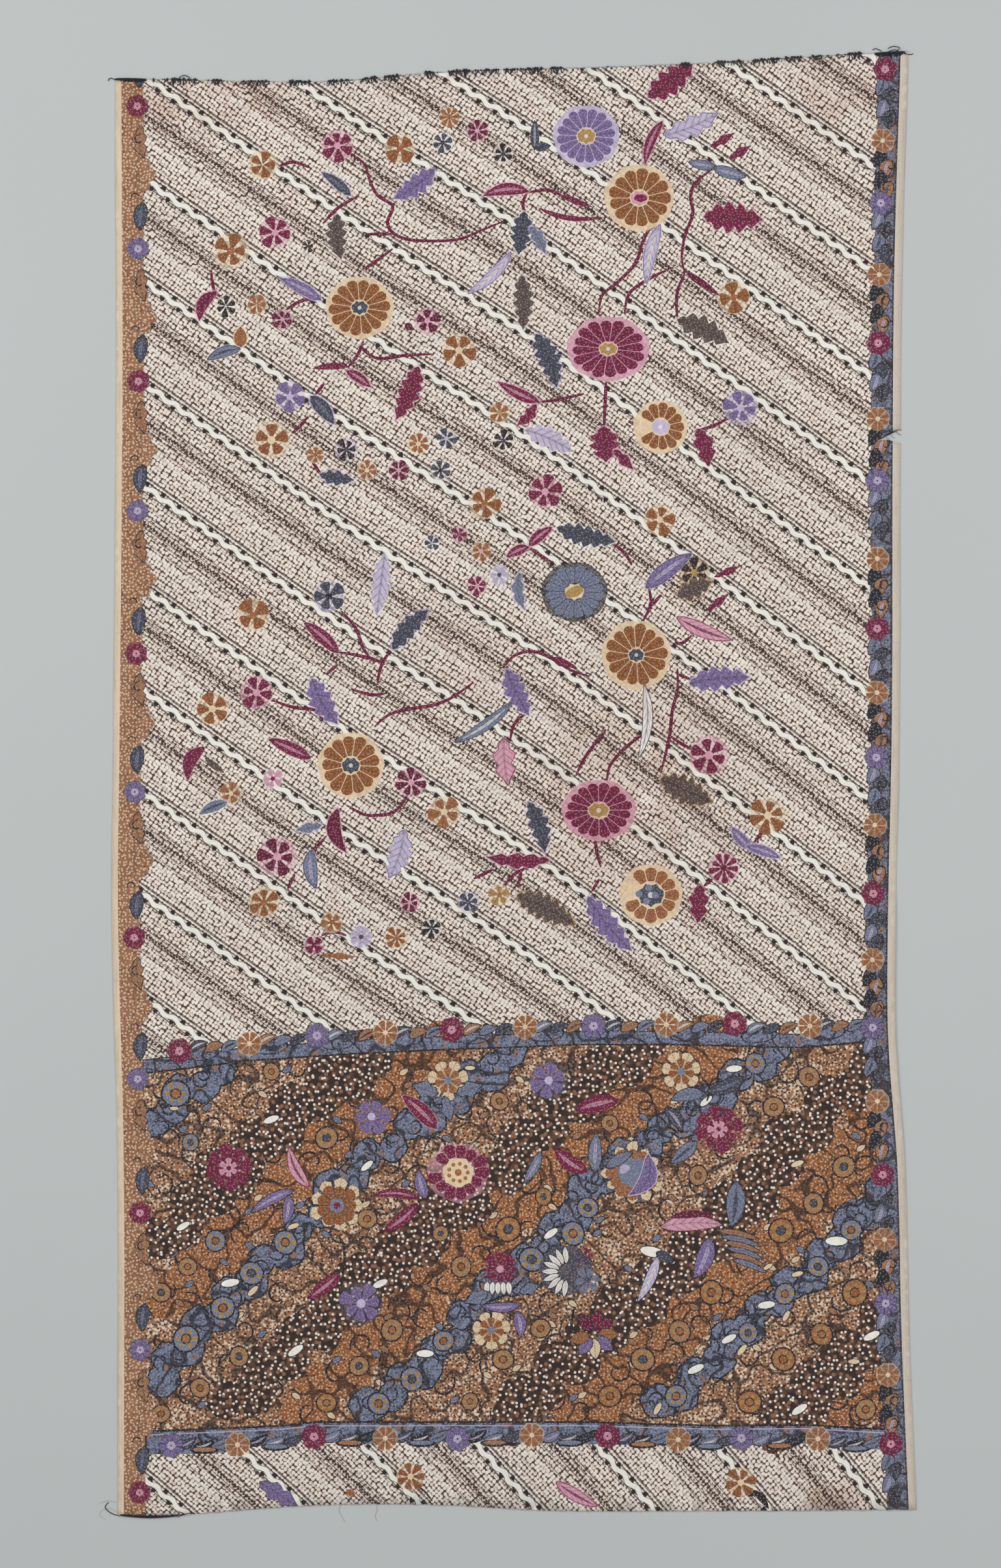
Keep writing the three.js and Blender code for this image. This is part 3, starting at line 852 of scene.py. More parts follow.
def draw_head(art):
    """The head panel: brown ground, diagonal bands, scrolls, ring rosettes and its own flowers."""
    art.ground(HEAD_TOP + HEAD_FOOT[::-1], HEAD)
    for first, second in zip(NIGHT_BANDS, BLUE_BANDS[1:]):
        follow(between(first, second), 84, 32, art, None, RUSTED)
    follow([(420, -870), (470, -838), (512, -800)], 56, 30, art, None, RUSTED)
    scrolls(art)
    for centre in NIGHT_BANDS:
        follow(centre, 74, 25, art, None, DOTTED)
    for centre in BLUE_BANDS:
        follow(centre, 48, 25, art, "night", BANDED, 2.8)
    for centre in BLUE_BANDS:
        line = smooth_line(centre, 5)
        for n, (x, y) in enumerate(line[1:-1]):
            art.curl(x + 8 * (-1) ** n, y + 7, 13, 75 * n, (-1) ** n, 2.7, "night")
    rings = [
        (-460, -420, 21, "blue"), (-255, -480, 17, "tan"), (-406, -620, 16, "blue"),
        (-311, -622, 18, "blue"), (-357, -664, 18, "blue"), (-396, -711, 18, "blue"),
        (-446, -753, 20, "blue"), (-374, -777, 15, "tan"), (-427, -820, 15, "tan"),
        (-444, -655, 14, "tan"), (-8, -604, 19, "rust"), (-72, -655, 16, "tan"),
        (80, -610, 18, "blue"), (24, -645, 19, "blue"), (36, -739, 15, "tan"),
        (-166, -741, 17, "tan"), (-139, -808, 18, "blue"), (-184, -841, 17, "blue"),
        (-15, -781, 16, "tan"), (-211, -790, 15, "tan"), (268, -690, 18, "rust"),
        (225, -743, 17, "tan"), (175, -781, 18, "tan"), (130, -831, 17, "rust"),
        (220, -831, 17, "blue"), (318, -745, 15, "blue"), (366, -781, 18, "rust"),
        (320, -839, 18, "rust"), (363, -606, 19, "rust"), (463, -690, 20, "rust"),
        (418, -747, 17, "rust"), (413, -655, 16, "blue"), (458, -605, 16, "blue"),
        (478, -849, 16, "tan"), (407, -569, 16, "tan"), (401, -397, 16, "tan"),
        (353, -438, 16, "tan"), (448, -519, 17, "tan"), (250, -531, 15, "tan"),
        (328, -379, 16, "blue"), (100, -575, 16, "blue"), (-96, -756, 16, "blue"),
        (368, -692, 16, "blue"), (-440, -486, 13, "blue"), (-20, -430, 14, "tan"),
        (-200, -590, 15, "tan"), (-100, -610, 12, "tan"), (60, -680, 13, "tan"),
        (-330, -390, 13, "tan"), (-480, -690, 15, "tan"), (-480, -855, 14, "tan"),
        (-60, -838, 13, "tan"), (40, -560, 13, "rust"), (130, -460, 13, "tan"),
        (-255, -840, 15, "rust"), (500, -640, 12, "rust"),
    ]
    for n, (x, y, radius, petal) in enumerate(rings):
        art.ringlet(x, y, radius, petal, ("rust", "slate", "brown")[n % 3], 40 * n)
    seeds = [
        (-386, -677, 25, 10), (-297, -769, 24, 35), (-121, -773, 24, 0), (-182, -678, 22, 25),
        (343, -707, 24, 8), (292, -753, 22, 28), (247, -794, 24, 25), (388, -849, 24, 32),
        (438, -620, 30, 0), (486, -749, 24, 25), (462, -784, 16, 0), (299, -386, 22, 5),
        (261, -430, 20, 40), (-330, -455, 22, 20), (-462, -440, 12, 0), (50, -610, 22, 35),
        (-200, -518, 20, 40), (-10, -688, 16, 50), (188, -635, 34, -12), (195, -848, 18, 60),
        (-355, -688, 18, 45), (-300, -600, 16, 20), (160, -490, 18, 30), (-60, -385, 14, 0),
        (-450, -600, 20, 30), (385, -515, 18, 20), (345, -655, 14, 30), (370, -722, 16, 60),
        (385, -665, 16, 15), (310, -768, 18, 50),
    ]
    for x, y, size, turn in seeds:
        art.fill(oval(x, y, size / 2 + 1.4, size * 0.22 + 1.4, 12, turn), "night", 0.75)
        art.fill(oval(x, y, size / 2, size * 0.2, 12, turn), "halo" if size < 20 else "white")
    draw_head_flowers(art)


def scrolls(art):
    """Dark scrolls and little leaves spread over the brown ground, in rows that rise to the right."""
    for row in range(-12, 22):
        for place in range(14):
            x = -475 + place * 76 + 38 * (row % 2) + art.chance.uniform(-10, 10)
            y = -1010 + row * 33 + (x + 470) * 0.34 + art.chance.uniform(-7, 7)
            if not -495 < x < 492 or not -858 < y < -372:
                continue
            hand = art.chance.choice((-1, 1))
            angle = art.chance.uniform(0, 360)
            art.curl(x, y, art.chance.uniform(15, 25), angle, hand, 3.3)
            lx, ly = x + 24 * math.cos(angle), y + 16 * math.sin(angle)
            dye_name = art.chance.choice(("tan", "blue", "halo"))
            art.leaf(lx, ly, lx + 11, ly + 7 * hand, 6.5, dye_name, 0, 0, "ink")


def draw_head_flowers(art):
    """Flowers and leaves over the bands of the head panel."""
    stems = [
        [(-360, -530), (-342, -538), (-318, -541)],
        [(-241, -612), (-232, -626), (-231, -655), (-238, -690)],
        [(200, -640), (194, -650), (190, -665)],
        [(255, -398), (266, -412), (262, -430)],
        [(190, -440), (214, -468), (236, -472)],
        [(15, -668), (-8, -690), (-45, -708)],
        [(82, -712), (78, -735), (92, -760)],
    ]
    for points in stems:
        art.stem(points, 3.6, "ink")
    art.blossom(-388, -521, 29, 8, "crimson", "wine", "pink", 10, (), 0.78)
    art.blossom(-388, -521, 14, 6, "pink", None, "wine", 30)
    art.blossom(-194, -451, 23, 6, "purple", "slate", "lavender", 5, (), 0.8)
    art.blossom(47, -402, 24, 6, "purple", "slate", "lavender", 20, (), 0.8)
    art.blossom(-208, -705, 27, 7, "purple", "slate", "lavender", 8, (), 0.8)
    art.blossom(278, -468, 30, 8, "crimson", "wine", "pink", 12, (), 0.78)
    art.blossom(278, -468, 14, 6, "pink", None, "wine", 0)
    art.blossom(-19, -658, 22, 8, "crimson", "wine", "pink", 0, (), 0.8)
    art.blossom(96, -641, 13, 5, "crimson", None, "wine", 0)
    pale_stars = ((-90, -402, 28, "rust"), (227, -390, 27, "brown"), (-31, -741, 26, "brown"))
    for x, y, radius, inner in pale_stars:
        art.disc(x, y, radius * 1.05, "ink", 0.5, 1, 0, 0.1, 16)
        art.petals(x, y, radius, 7, "halo", 0.2, 1, 14, 0.8)
        art.petals(x, y, radius * 0.66, 7, inner, 0.2, 1, 40, 0.8)
        art.disc(x, y, radius * 0.2, "blue", 1, 1, 0, 0, 8)
    # The brown star flower with a purple heart.
    art.disc(-241, -572, 34, "ink", 0.6, 1, 0, 0.08, 20)
    art.petals(-241, -572, 35, 9, "halo", 0.3, 1, 0, 0.8, (), 0.3, 0.1)
    art.petals(-241, -572, 29, 9, "brown", 0.2, 1, 0, 0.92, (), 0.5, 0.1)
    art.disc(-241, -572, 10, "blue", 1, 1, 0, 0.1, 12)
    art.disc(-241, -572, 5, "crimson", 1, 1, 0, 0, 8)
    # The open ring of crimson petals.
    art.disc(-76, -527, 42, "pink", 0.4, 0.96, 0, 0.04, 24)
    art.petals(-76, -527, 40, 13, "crimson", 0.54, 0.96, 0, 0.92, (6,), 0.6, 0.1)
    art.disc(-76, -527, 21, "halo", 1, 0.95, 0, 0.08, 18)
    for n in range(9):
        angle = TAU * n / 9
        art.disc(-76 + 13 * math.cos(angle), -527 + 12 * math.sin(angle), 3, "brown", 0.9, 1, 0, 0, 6)
    art.disc(-76, -527, 5, "rust", 1, 1, 0, 0, 8)
    # The brown serrated flower that holds a purple crescent.
    art.disc(161, -528, 43, "ink", 0.5, 0.95, 0, 0.06, 24)
    art.petals(161, -528, 42, 12, "halo", 0.4, 0.95, 0, 0.7, (), 0.3, 0.1)
    art.petals(161, -528, 36, 12, "rust", 0.4, 0.95, 0, 0.96, (), 0.5, 0.1)
    art.disc(163, -527, 22, "blue", 1, 0.9, 0, 0.05, 16)
    art.leaf(182, -502, 156, -558, 22, "purple", 0, 14, "lavender")
    art.disc(150, -522, 8, "lavender", 0.8, 0.7, 30, 0.1, 10)
    # The daisy of pale strokes on grey, with its blue scallop.
    art.disc(70, -660, 36, "slate", 0.85, 0.95, 0, 0.03, 22)
    for n in range(9):
        angle = math.radians(95 + 21 * n)
        x, y = 72 + 12 * math.cos(angle), -662 + 12 * math.sin(angle)
        art.leaf(x, y, x + 22 * math.cos(angle), y + 22 * math.sin(angle), 7, "cream", 0, 0, "ink")
    art.blossom(100, -673, 18, 6, "blue", None, "slate", 10)
    # The flower of mixed petals.
    mixed = [
        (40, "crimson"), (78, "crimson"), (0, "rust"), (-40, "purple"), (-85, "halo"),
        (-125, "purple"), (-165, "rust"), (125, "wine"),
    ]
    for angle, dye_name in mixed:
        turn = math.radians(angle)
        x, y = 108 + 6 * math.cos(turn), -747 + 6 * math.sin(turn)
        art.leaf(x, y, x + 27 * math.cos(turn), y + 27 * math.sin(turn), 15, dye_name, 0, 0, "ink")
    # The pair of pale strokes under the crimson flower, and the grey feather.
    for n in range(5):
        art.leaf(-22 + 7 * n - 14, -676, -38 + 8 * n, -692, 7, "white", 0, 0, "slate")
    for n in range(6):
        tone = ("tan", "blue")[n % 2]
        art.leaf(278 + 4 * n, -606 - 8 * n, 332 + 2 * n, -618 - 9 * n, 7, tone, 0, 2, "ink")
    # Leaves of the head panel: base, tip, width, dye, lobes, bend, rim, halo and midrib.
    leaves = [
        (-280, -546, -306, -494, 15, "pink", 0, 5, "crimson", None, "crimson"),
        (-300, -551, -357, -581, 13, "purple", 0, -3, "ink", None, "lavender"),
        (-306, -558, -312, -597, 14, "purple", 0, 2, "ink", None, "lavender"),
        (-106, -466, -150, -424, 19, "crimson", 0, -2, "wine", "pink", "pink"),
        (-120, -562, -130, -524, 15, "purple", 0, 2, "ink", None, "lavender"),
        (-130, -562, -190, -558, 11, "crimson", 0, -5, "wine", None, "pink"),
        (-132, -570, -176, -606, 16, "crimson", 0, 3, "wine", None, "pink"),
        (85, -442, 142, -429, 22, "crimson", 0, 2, "wine", None, "pink"),
        (98, -526, 56, -496, 19, "crimson", 0, 3, "wine", None, "pink"),
        (110, -526, 112, -474, 17, "blue", 0, 1, "night", None, "lavender"),
        (126, -520, 160, -500, 13, "blue", 0, 1, "night"),
        (36, -500, 14, -540, 12, "blue", 0, 2, "night", None, "lavender"),
        (-104, -420, -138, -408, 20, "blue", 2, 0, "night"),
        (-78, -420, -44, -408, 19, "blue", 2, 0, "night"),
        (-95, -424, -86, -458, 15, "blue", 2, 0, "night"),
        (312, -398, 262, -418, 18, "slate", 0, 3, "ink", None, "blue"),
        (258, -420, 214, -428, 16, "blue", 0, -3, "ink"),
        (206, -440, 228, -470, 15, "slate", 0, 3, "ink", None, "lavender"),
        (248, -486, 214, -514, 17, "blue", 0, 0, "ink", None, "slate"),
        (200, -601, 282, -598, 20, "pink", 0, 4, "wine"),
        (212, -588, 274, -585, 10, "wine", 0, 3),
        (266, -616, 245, -670, 22, "purple", 0, 4, "ink", None, "lavender"),
        (302, -540, 296, -600, 24, "blue", 0, 2, "night", None, "slate"),
        (196, -640, 168, -702, 13, "lavender", 0, 3, "night", None, "white"),
        (194, -636, 216, -648, 12, "slate", 0, 0, "ink"),
        (-238, -664, -280, -698, 17, "crimson", 0, 2, "wine", None, "pink"),
        (8, -707, -44, -708, 12, "purple", 0, 3, "ink", None, "lavender"),
        (4, -716, 9, -750, 15, "purple", 0, 2, "ink", None, "lavender"),
        (-36, -690, -66, -704, 17, "blue", 2, 0, "night"),
        (8, -690, 34, -680, 14, "blue", 2, 0, "night"),
    ]
    for leaf in leaves:
        art.leaf(*leaf)


def draw_strips(art):
    """The two flowered strips above and below the head panel."""
    upper = raised(HEAD_TOP, 17)
    art.fill(raised(HEAD_TOP, -1.5) + raised(upper, 1.5)[::-1], "ink")
    art.ground(raised(HEAD_TOP, 1) + upper[::-1], BANDED)
    art.fill(raised(HEAD_FOOT, -1.6) + raised(HEAD_FOOT, 1.2)[::-1], "ink")
    art.ground(raised(HEAD_FOOT, -1.6) + STRIP_FOOT[::-1], BANDED)
    art.fill(strip(raised(HEAD_FOOT, -5), 1.8), "lavender", 0.6)
    upper_flowers = [
        (-455, -362), (-360, -352), (-268, -341), (-175, -337), (-85, -333), (15, -329),
        (108, -328), (207, -326), (300, -325), (402, -328), (486, -331),
    ]
    lower_flowers = [
        (-466, -898), (-376, -897), (-272, -886), (-175, -888), (-77, -889), (24, -884),
        (127, -885), (223, -890), (309, -888), (413, -889), (516, -896),
    ]
    for n, ((ax, _), (bx, _)) in enumerate(zip(upper_flowers, upper_flowers[1:])):
        mx = (ax + bx) / 2
        base = float(read_off(upper, mx))
        art.fill(oval(mx - 18, base - 1, 26, 11, 16, 6), "night")
        art.ground(oval(mx - 18, base - 2, 23, 8.5, 16, 6), BANDED)
        for k in range(3):
            x = mx - 26 + 22 * k
            tone = ("slate", "tan", "blue")[(n + k) % 3]
            midrib = ("cream", None, "ink")[k]
            rise = 13 - 3 * (k % 2)
            art.leaf(x - 8, base + 1, x + 16, base + rise, 11, tone, 0, 3, "ink", None, midrib)
    for n, ((ax, _), (bx, _)) in enumerate(zip(lower_flowers, lower_flowers[1:])):
        mx = (ax + bx) / 2
        base = float(read_off(HEAD_FOOT, mx)) - 18
        for k in range(3):
            x = mx - 28 + 24 * k
            tone = ("slate", "night", "blue")[(n + k) % 3]
            midrib = ("lavender", "cream", "slate")[k]
            rise = 6 - 4 * (k % 2)
            art.leaf(x - 10, base - 6, x + 16, base + rise, 11, tone, 0, -3, "ink", None, midrib)
        art.fill(oval(mx, base - 11, 20, 5, 12, 0), ("ink", "night")[n % 2])
        art.fill(oval(mx, base - 10, 16, 3, 12, 0), ("tan", "blue")[n % 2])
    kinds = ("crimson", "rust", "purple", "rust")
    for n, (x, y) in enumerate(upper_flowers):
        draw_border_flower(art, x, y, kinds[n % 4], 18)
    for n, (x, y) in enumerate(lower_flowers):
        draw_border_flower(art, x, y, kinds[(n + 2) % 4], 18)


def draw_border_flower(art, x, y, dye_name, radius):
    """A flower of the borders and strips: an orange brown daisy, or a star in another dye."""
    centre = {"crimson": "pink", "purple": "lavender", "rust": "halo"}[dye_name]
    radius *= 0.9
    if dye_name == "rust":
        art.disc(x, y, radius * 1.08, "halo", 0.4, 1, 0, 0.06, 16)
        art.petals(x, y, radius, 8, "rust", 0.15, 1, 20, 0.8, (), 0.8)
        art.disc(x, y, radius * 0.22, "halo", 1, 1, 0, 0, 8)
    else:
        art.star(x, y, radius, 8, dye_name, centre, 12, "wine" if dye_name == "crimson" else "slate")


LEVELS = range(-1010, 1011, 20)


def beside_edge(edge, offset):
    """A line that follows the left or right edge at an offset, going up."""
    return [(edge(y) + offset, y) for y in LEVELS]


def draw_borders(art):
    """The brown border along the left side, the blue-grey one along the right, and both selvedges."""

    def uneven(edge, offset, amount):
        return [(edge(y) + offset + art.chance.uniform(-amount, amount), y) for y in LEVELS]

    # Left: ground, lobes into the field, leaves, flowers.
    inner = uneven(left_edge, 37, 1)
    outer = beside_edge(left_edge, -30)[::-1]
    art.fill([(x + 1.3, y) for x, y in inner] + outer, "ink", 0.45)
    art.ground(inner + outer, BORDER)
    flowers = (922, 728, 548, 372, 178, -10, -208, -400, -582, -768, -962)
    for y in flowers:
        x = left_edge(y) + 31
        for dx, dy, r in ((7, -78, 10), (11, -93, 13), (7, -108, 10), (5, -64, 8)):
            art.fill(oval(x + dx, y + dy, r + 1.2, (r + 1.2) * 0.8, 14), "ink", 0.5)
            art.ground(oval(x + dx, y + dy, r, r * 0.8, 14), BORDER)
        art.leaf(x + 6, y + 62, x + 2, y + 26, 17, "slate", 0, -2, "ink", None, "blue")
        art.leaf(x + 4, y - 28, x + 8, y - 70, 17, "tan", 3, -4, "ink", None, "halo")
        art.curl(x + 2, y - 46, 8, 80, 1, 2.2)
        art.curl(x - 4, y + 70, 7, 200, -1, 1.8)
    for n, y in enumerate(flowers):
        draw_border_flower(art, left_edge(y) + 30, y, ("crimson", "purple")[n % 2], 16)
    # Right: ground, lobes, leaves, flowers.
    inner = uneven(right_edge, -38, 2)
    outer = beside_edge(right_edge, 30)[::-1]
    art.fill([(x - 1.6, y) for x, y in inner] + outer, "ink", 0.8)
    art.ground(inner + outer, BANDED)
    art.fill(inner + beside_edge(right_edge, -11)[::-1], "umber", 0.2)
    stations = [
        (972, "crimson"), (875, "rust"), (790, "purple"), (693, "rust"), (600, "crimson"),
        (497, "rust"), (413, "purple"), (307, "rust"), (212, "crimson"), (125, "rust"),
        (37, "purple"), (-55, "rust"), (-148, "crimson"), (-238, "rust"), (-330, "purple"),
        (-430, "rust"), (-530, "crimson"), (-618, "rust"), (-705, "purple"), (-802, "rust"),
        (-896, "crimson"),
    ]
    for n, (y, _) in enumerate(stations):
        x = right_edge(y) - 30
        for k in range(4):
            ly = y - 22 - 15 * k
            lx = x + (-7, 5, -6, 6)[k]
            tone = (("blue", "slate"), ("night", "tan"))[n % 2][k % 2]
            midrib = ("slate", None, "lavender", "ink")[(n + k) % 4]
            tip = (lx - 5 + 3 * (k % 2), ly - 13)
            art.leaf(lx + 4, ly + 11, *tip, 16, tone, 0, 3 * (-1) ** k, "ink", None, midrib)
        art.curl(x + 9, y - 34, 8, 90 * n, (-1) ** n, 2.2)
        art.curl(x + 6, y - 64, 9, 70 * n, -((-1) ** n), 2.2)
    for y, dye_name in stations:
        draw_border_flower(art, right_edge(y) - 31, y, dye_name, 17)
    art.fill(beside_edge(right_edge, -13) + beside_edge(right_edge, -10.5)[::-1], "night", 0.75)
    # Selvedges.
    art.ground(beside_edge(left_edge, 8.5) + beside_edge(left_edge, -31)[::-1], SELVEDGE)
    art.ground(beside_edge(right_edge, -10.5) + beside_edge(right_edge, 31)[::-1], SELVEDGE)


# ---- The cloth's mesh ----------------------------------------------------------------------------


def cloth_outline():
    """The whole outline, anticlockwise, with slightly uneven raw ends."""
    bottom = [(x, y + 0.35 * math.sin(x / 2.9) + 0.25 * math.sin(x / 1.3)) for x, y in BOTTOM]
    top = [(x, y + 0.35 * math.sin(x / 3.7) - 0.25 * math.sin(x / 1.7)) for x, y in TOP]
    return bottom[:-1] + RIGHT[:-1] + top[::-1][:-1] + LEFT[::-1][:-1]


def wound(points):
    """The same outline, anticlockwise from its lowest point, so that its inside is always on its left."""
    low = min(range(len(points)), key=lambda n: (points[n][1], points[n][0]))
    ring = points[low:] + points[:low]
    (ax, ay), (bx, by), (cx, cy) = ring[-1], ring[0], ring[1]
    if (bx - ax) * (cy - by) - (by - ay) * (cx - bx) < 0:
        ring = ring[:1] + ring[:0:-1]
    return ring


def triangulate(rings, shapes, step):
    """A face as triangles, inside the first ring and outside the others, and what each is dyed."""
    polygons = [wound(p) for p in rings + [shape[0] for shape in shapes]]
    points, faces = [], []
    for polygon in polygons:
        faces.append(list(range(len(points), len(points) + len(polygon))))
        points.extend(Vector(p) for p in polygon)
    lows = [min(p[k] for p in rings[0]) for k in (0, 1)]
    highs = [max(p[k] for p in rings[0]) for k in (0, 1)]
    chance = random.Random(5)
    y = lows[1] + step / 2
    while y < highs[1]:
        x = lows[0] + step / 2
        while x < highs[0]:
            shift = [chance.uniform(-0.2, 0.2) * step for _ in "xy"]
            points.append(Vector((x + shift[0], y + shift[1])))
            x += step
        y += step
    made = delaunay_2d_cdt(points, [], faces, 1, 1e-4, True)
    flat = [tuple(p) for p in made[0]]
    holes = set(range(1, len(rings)))
    triangles, looks = [], []
    for (i, j, k), owners in zip(made[2], made[5]):
        if 0 not in owners or holes.intersection(owners):
            continue
        (ax, ay), (bx, by), (cx, cy) = flat[i], flat[j], flat[k]
        turn = (bx - ax) * (cy - ay) - (by - ay) * (cx - ax)
        triangles.append((i, j, k) if turn > 0 else (i, k, j))
        looks.append(inked(shapes, [o - len(rings) for o in sorted(owners) if o >= len(rings)]))
    used = sorted({v for t in triangles for v in t})
    index = {v: n for n, v in enumerate(used)}
    return np.array([flat[v] for v in used]), [tuple(index[v] for v in t) for t in triangles], looks


def inked(shapes, owners):
    """The ground, dye, cover and axis that a triangle ends up with."""
    ground, colour, cover, axis = FIELD, (0, 0, 0), 0.0, None
    for owner in owners:
        _, new_ground, new_colour, new_cover, new_axis = shapes[owner]
        if new_colour is None:
            ground, cover, axis = new_ground, 0.0, None
            continue
        under = cover * (1 - new_cover)
        total = new_cover + under
        colour = tuple((a * new_cover + b * under) / total for a, b in zip(new_colour, colour))
        cover = total
        axis = new_axis if new_cover > 0.9 else axis
    return ground, colour, cover, axis


def rim_edges(triangles):
    """The edges that only one triangle has, each as from: to."""
    edges = {(t[k], t[(k + 1) % 3]) for t in triangles for k in range(3)}
    return {a: b for a, b in edges if (b, a) not in edges}


def extent(points):
    """An outline's size across and along."""
    return [max(p[k] for p in points) - min(p[k] for p in points) for k in (0, 1)]


def vein_place(point, axis):
    """Where a point is in a leaf or petal: along it, and across it in half widths."""
    (x0, y0), (x1, y1), half, bend = axis
    dx, dy = x1 - x0, y1 - y0
    run = math.hypot(dx, dy)
    u = ((point[0] - x0) * dx + (point[1] - y0) * dy) / (run * run)
    across = ((point[1] - y0) * dx - (point[0] - x0) * dy) / run
    return u, (across - bend * 4 * u * (1 - u)) / half


# The underside carries the shapes that are at least this wide, or this long, in millimetres.
UNDER_WIDE = 45
UNDER_LONG = 150


def reaches_under(shape):
    """Whether a shape is large enough for the underside."""
    across, along = extent(shape[0])
    return min(across, along) > UNDER_WIDE or max(across, along) > UNDER_LONG


def cloth_mesh(art, sizes):
    """The cloth as a thin closed shell whose faces carry the pattern, with less of it underneath."""
    step = sizes.grid / MM
    flat, triangles, looks = triangulate([cloth_outline(), TEAR], art.shapes, step)
    rim = rim_edges(triangles)
    ring, at = [], next(iter(rim))
    while len(ring) < len(rim):
        ring.append(at)
        at = rim[at]
    large = [shape for shape in art.shapes if reaches_under(shape)]
    outline = [tuple(flat[v]) for v in ring]
    below, below_triangles, below_looks = triangulate([outline], large, step * 1.5)
    count = len(flat)
    flat = np.vstack((flat, below))
    x, y = flat[:, 0], flat[:, 1]
    heights = sizes.clearance + sizes.relief * MM * lift(x, y)
    heights[:count] += sizes.thickness
    faces = triangles + [(a + count, c + count, b + count) for a, b, c in below_triangles]
    tops = len(faces)
    looks = looks + below_looks
    found = {(round(px, 2), round(py, 2)): n + count for n, (px, py) in enumerate(below.tolist())}
    partner = {v: found[round(flat[v][0], 2), round(flat[v][1], 2)] for v in ring}
    edge_looks = {}
    for t, look in zip(triangles, looks):
        edge_looks.update({t[k]: look for k in range(3) if rim.get(t[k]) == t[(k + 1) % 3]})
    for a in ring:
        b = rim[a]
        faces.append((b, a, partner[a]))
        faces.append((b, partner[a], partner[b]))
        looks += [edge_looks[a]] * 2
    mesh = bpy.data.meshes.new("batik_cloth")
    mesh.from_pydata(np.column_stack((x * MM, y * MM, heights)).tolist(), [], faces)
    # Weave is the cloth laid flat, in metres. Rows places the field's filling, and Veins the veins.
    rows = np.array([*field_rows(x, y)]).T
    foot = np.array([*foot_rows(x, y)]).T
    weave = np.column_stack((x, y)) * MM
    corners = {"Weave": [], "Rows": [], "Veins": []}
    corner_dyes = []
    for face, (_, colour, cover, axis) in zip(faces, looks):
        low = sum(y[v] for v in face) / 3 < FOOT_TOP + 60
        for v in face:
            corners["Rows"].append((foot if low else rows)[v])
            corners["Veins"].append(vein_place(flat[v], axis) if axis else (0.0, 9.0))
            corners["Weave"].append(weave[v])
            corner_dyes.append((*colour, cover))
    for name, values in corners.items():
        layer = mesh.uv_layers.new(name=name)
        layer.uv.foreach_set("vector", np.array(values, dtype=np.float32).ravel())
    dyed = mesh.attributes.new("Dye", "FLOAT_COLOR", "CORNER")
    dyed.data.foreach_set("color", np.array(corner_dyes, dtype=np.float32).ravel())
    grounds = mesh.attributes.new("Ground", "FLOAT", "FACE")
    grounds.data.foreach_set("value", [float(look[0]) for look in looks])
    mesh.polygons.foreach_set("use_smooth", [n < tops for n in range(len(faces))])
    return mesh


# ---- Materials -----------------------------------------------------------------------------------


DOT_BLUR = 0.4  # How far a waxed dot's rim fades on either side, in millimetres.


def plain(pen, colour):
    """One even colour, to be worked over."""
    tint = pen.node("ShaderNodeRGB")
    tint.socket.default_value = (*colour, 1)
    return tint


def from_dots(pen, place, cell, scatter):
    """Distance in millimetres to the nearest of dots set on jittered cells."""
    cells = pen.node(
        "ShaderNodeTexVoronoi",
        {"voronoi_dimensions": "2D", "feature": "F1"},
        {"Vector": place, "Scale": 1 / cell, "Randomness": scatter},
    )
    return cells * cell


def dots(pen, place, cell, radius, scatter):
    """Dots on jittered cells, sizes in millimetres: 1 inside a dot."""
    return from_dots(pen, place, cell, scatter).step(radius + DOT_BLUR, radius - DOT_BLUR)


def noise(pen, place, size, detail=2.0):
    """Soft unevenness about 0.5, on patches of a size in millimetres."""
    return pen.node(
        "ShaderNodeTexNoise",
        {"noise_dimensions": "3D"},
        {"Vector": place, "Scale": 1 / size, "Detail": detail},
    )


def scrollwork(pen, place, size, width):
    """Thin winding lines around patches of a size in millimetres: 1 on a line."""
    half = 0.5 * width / size
    return abs(noise(pen, place, size, 0.6) - 0.5).step(half * 1.3, half * 0.6)


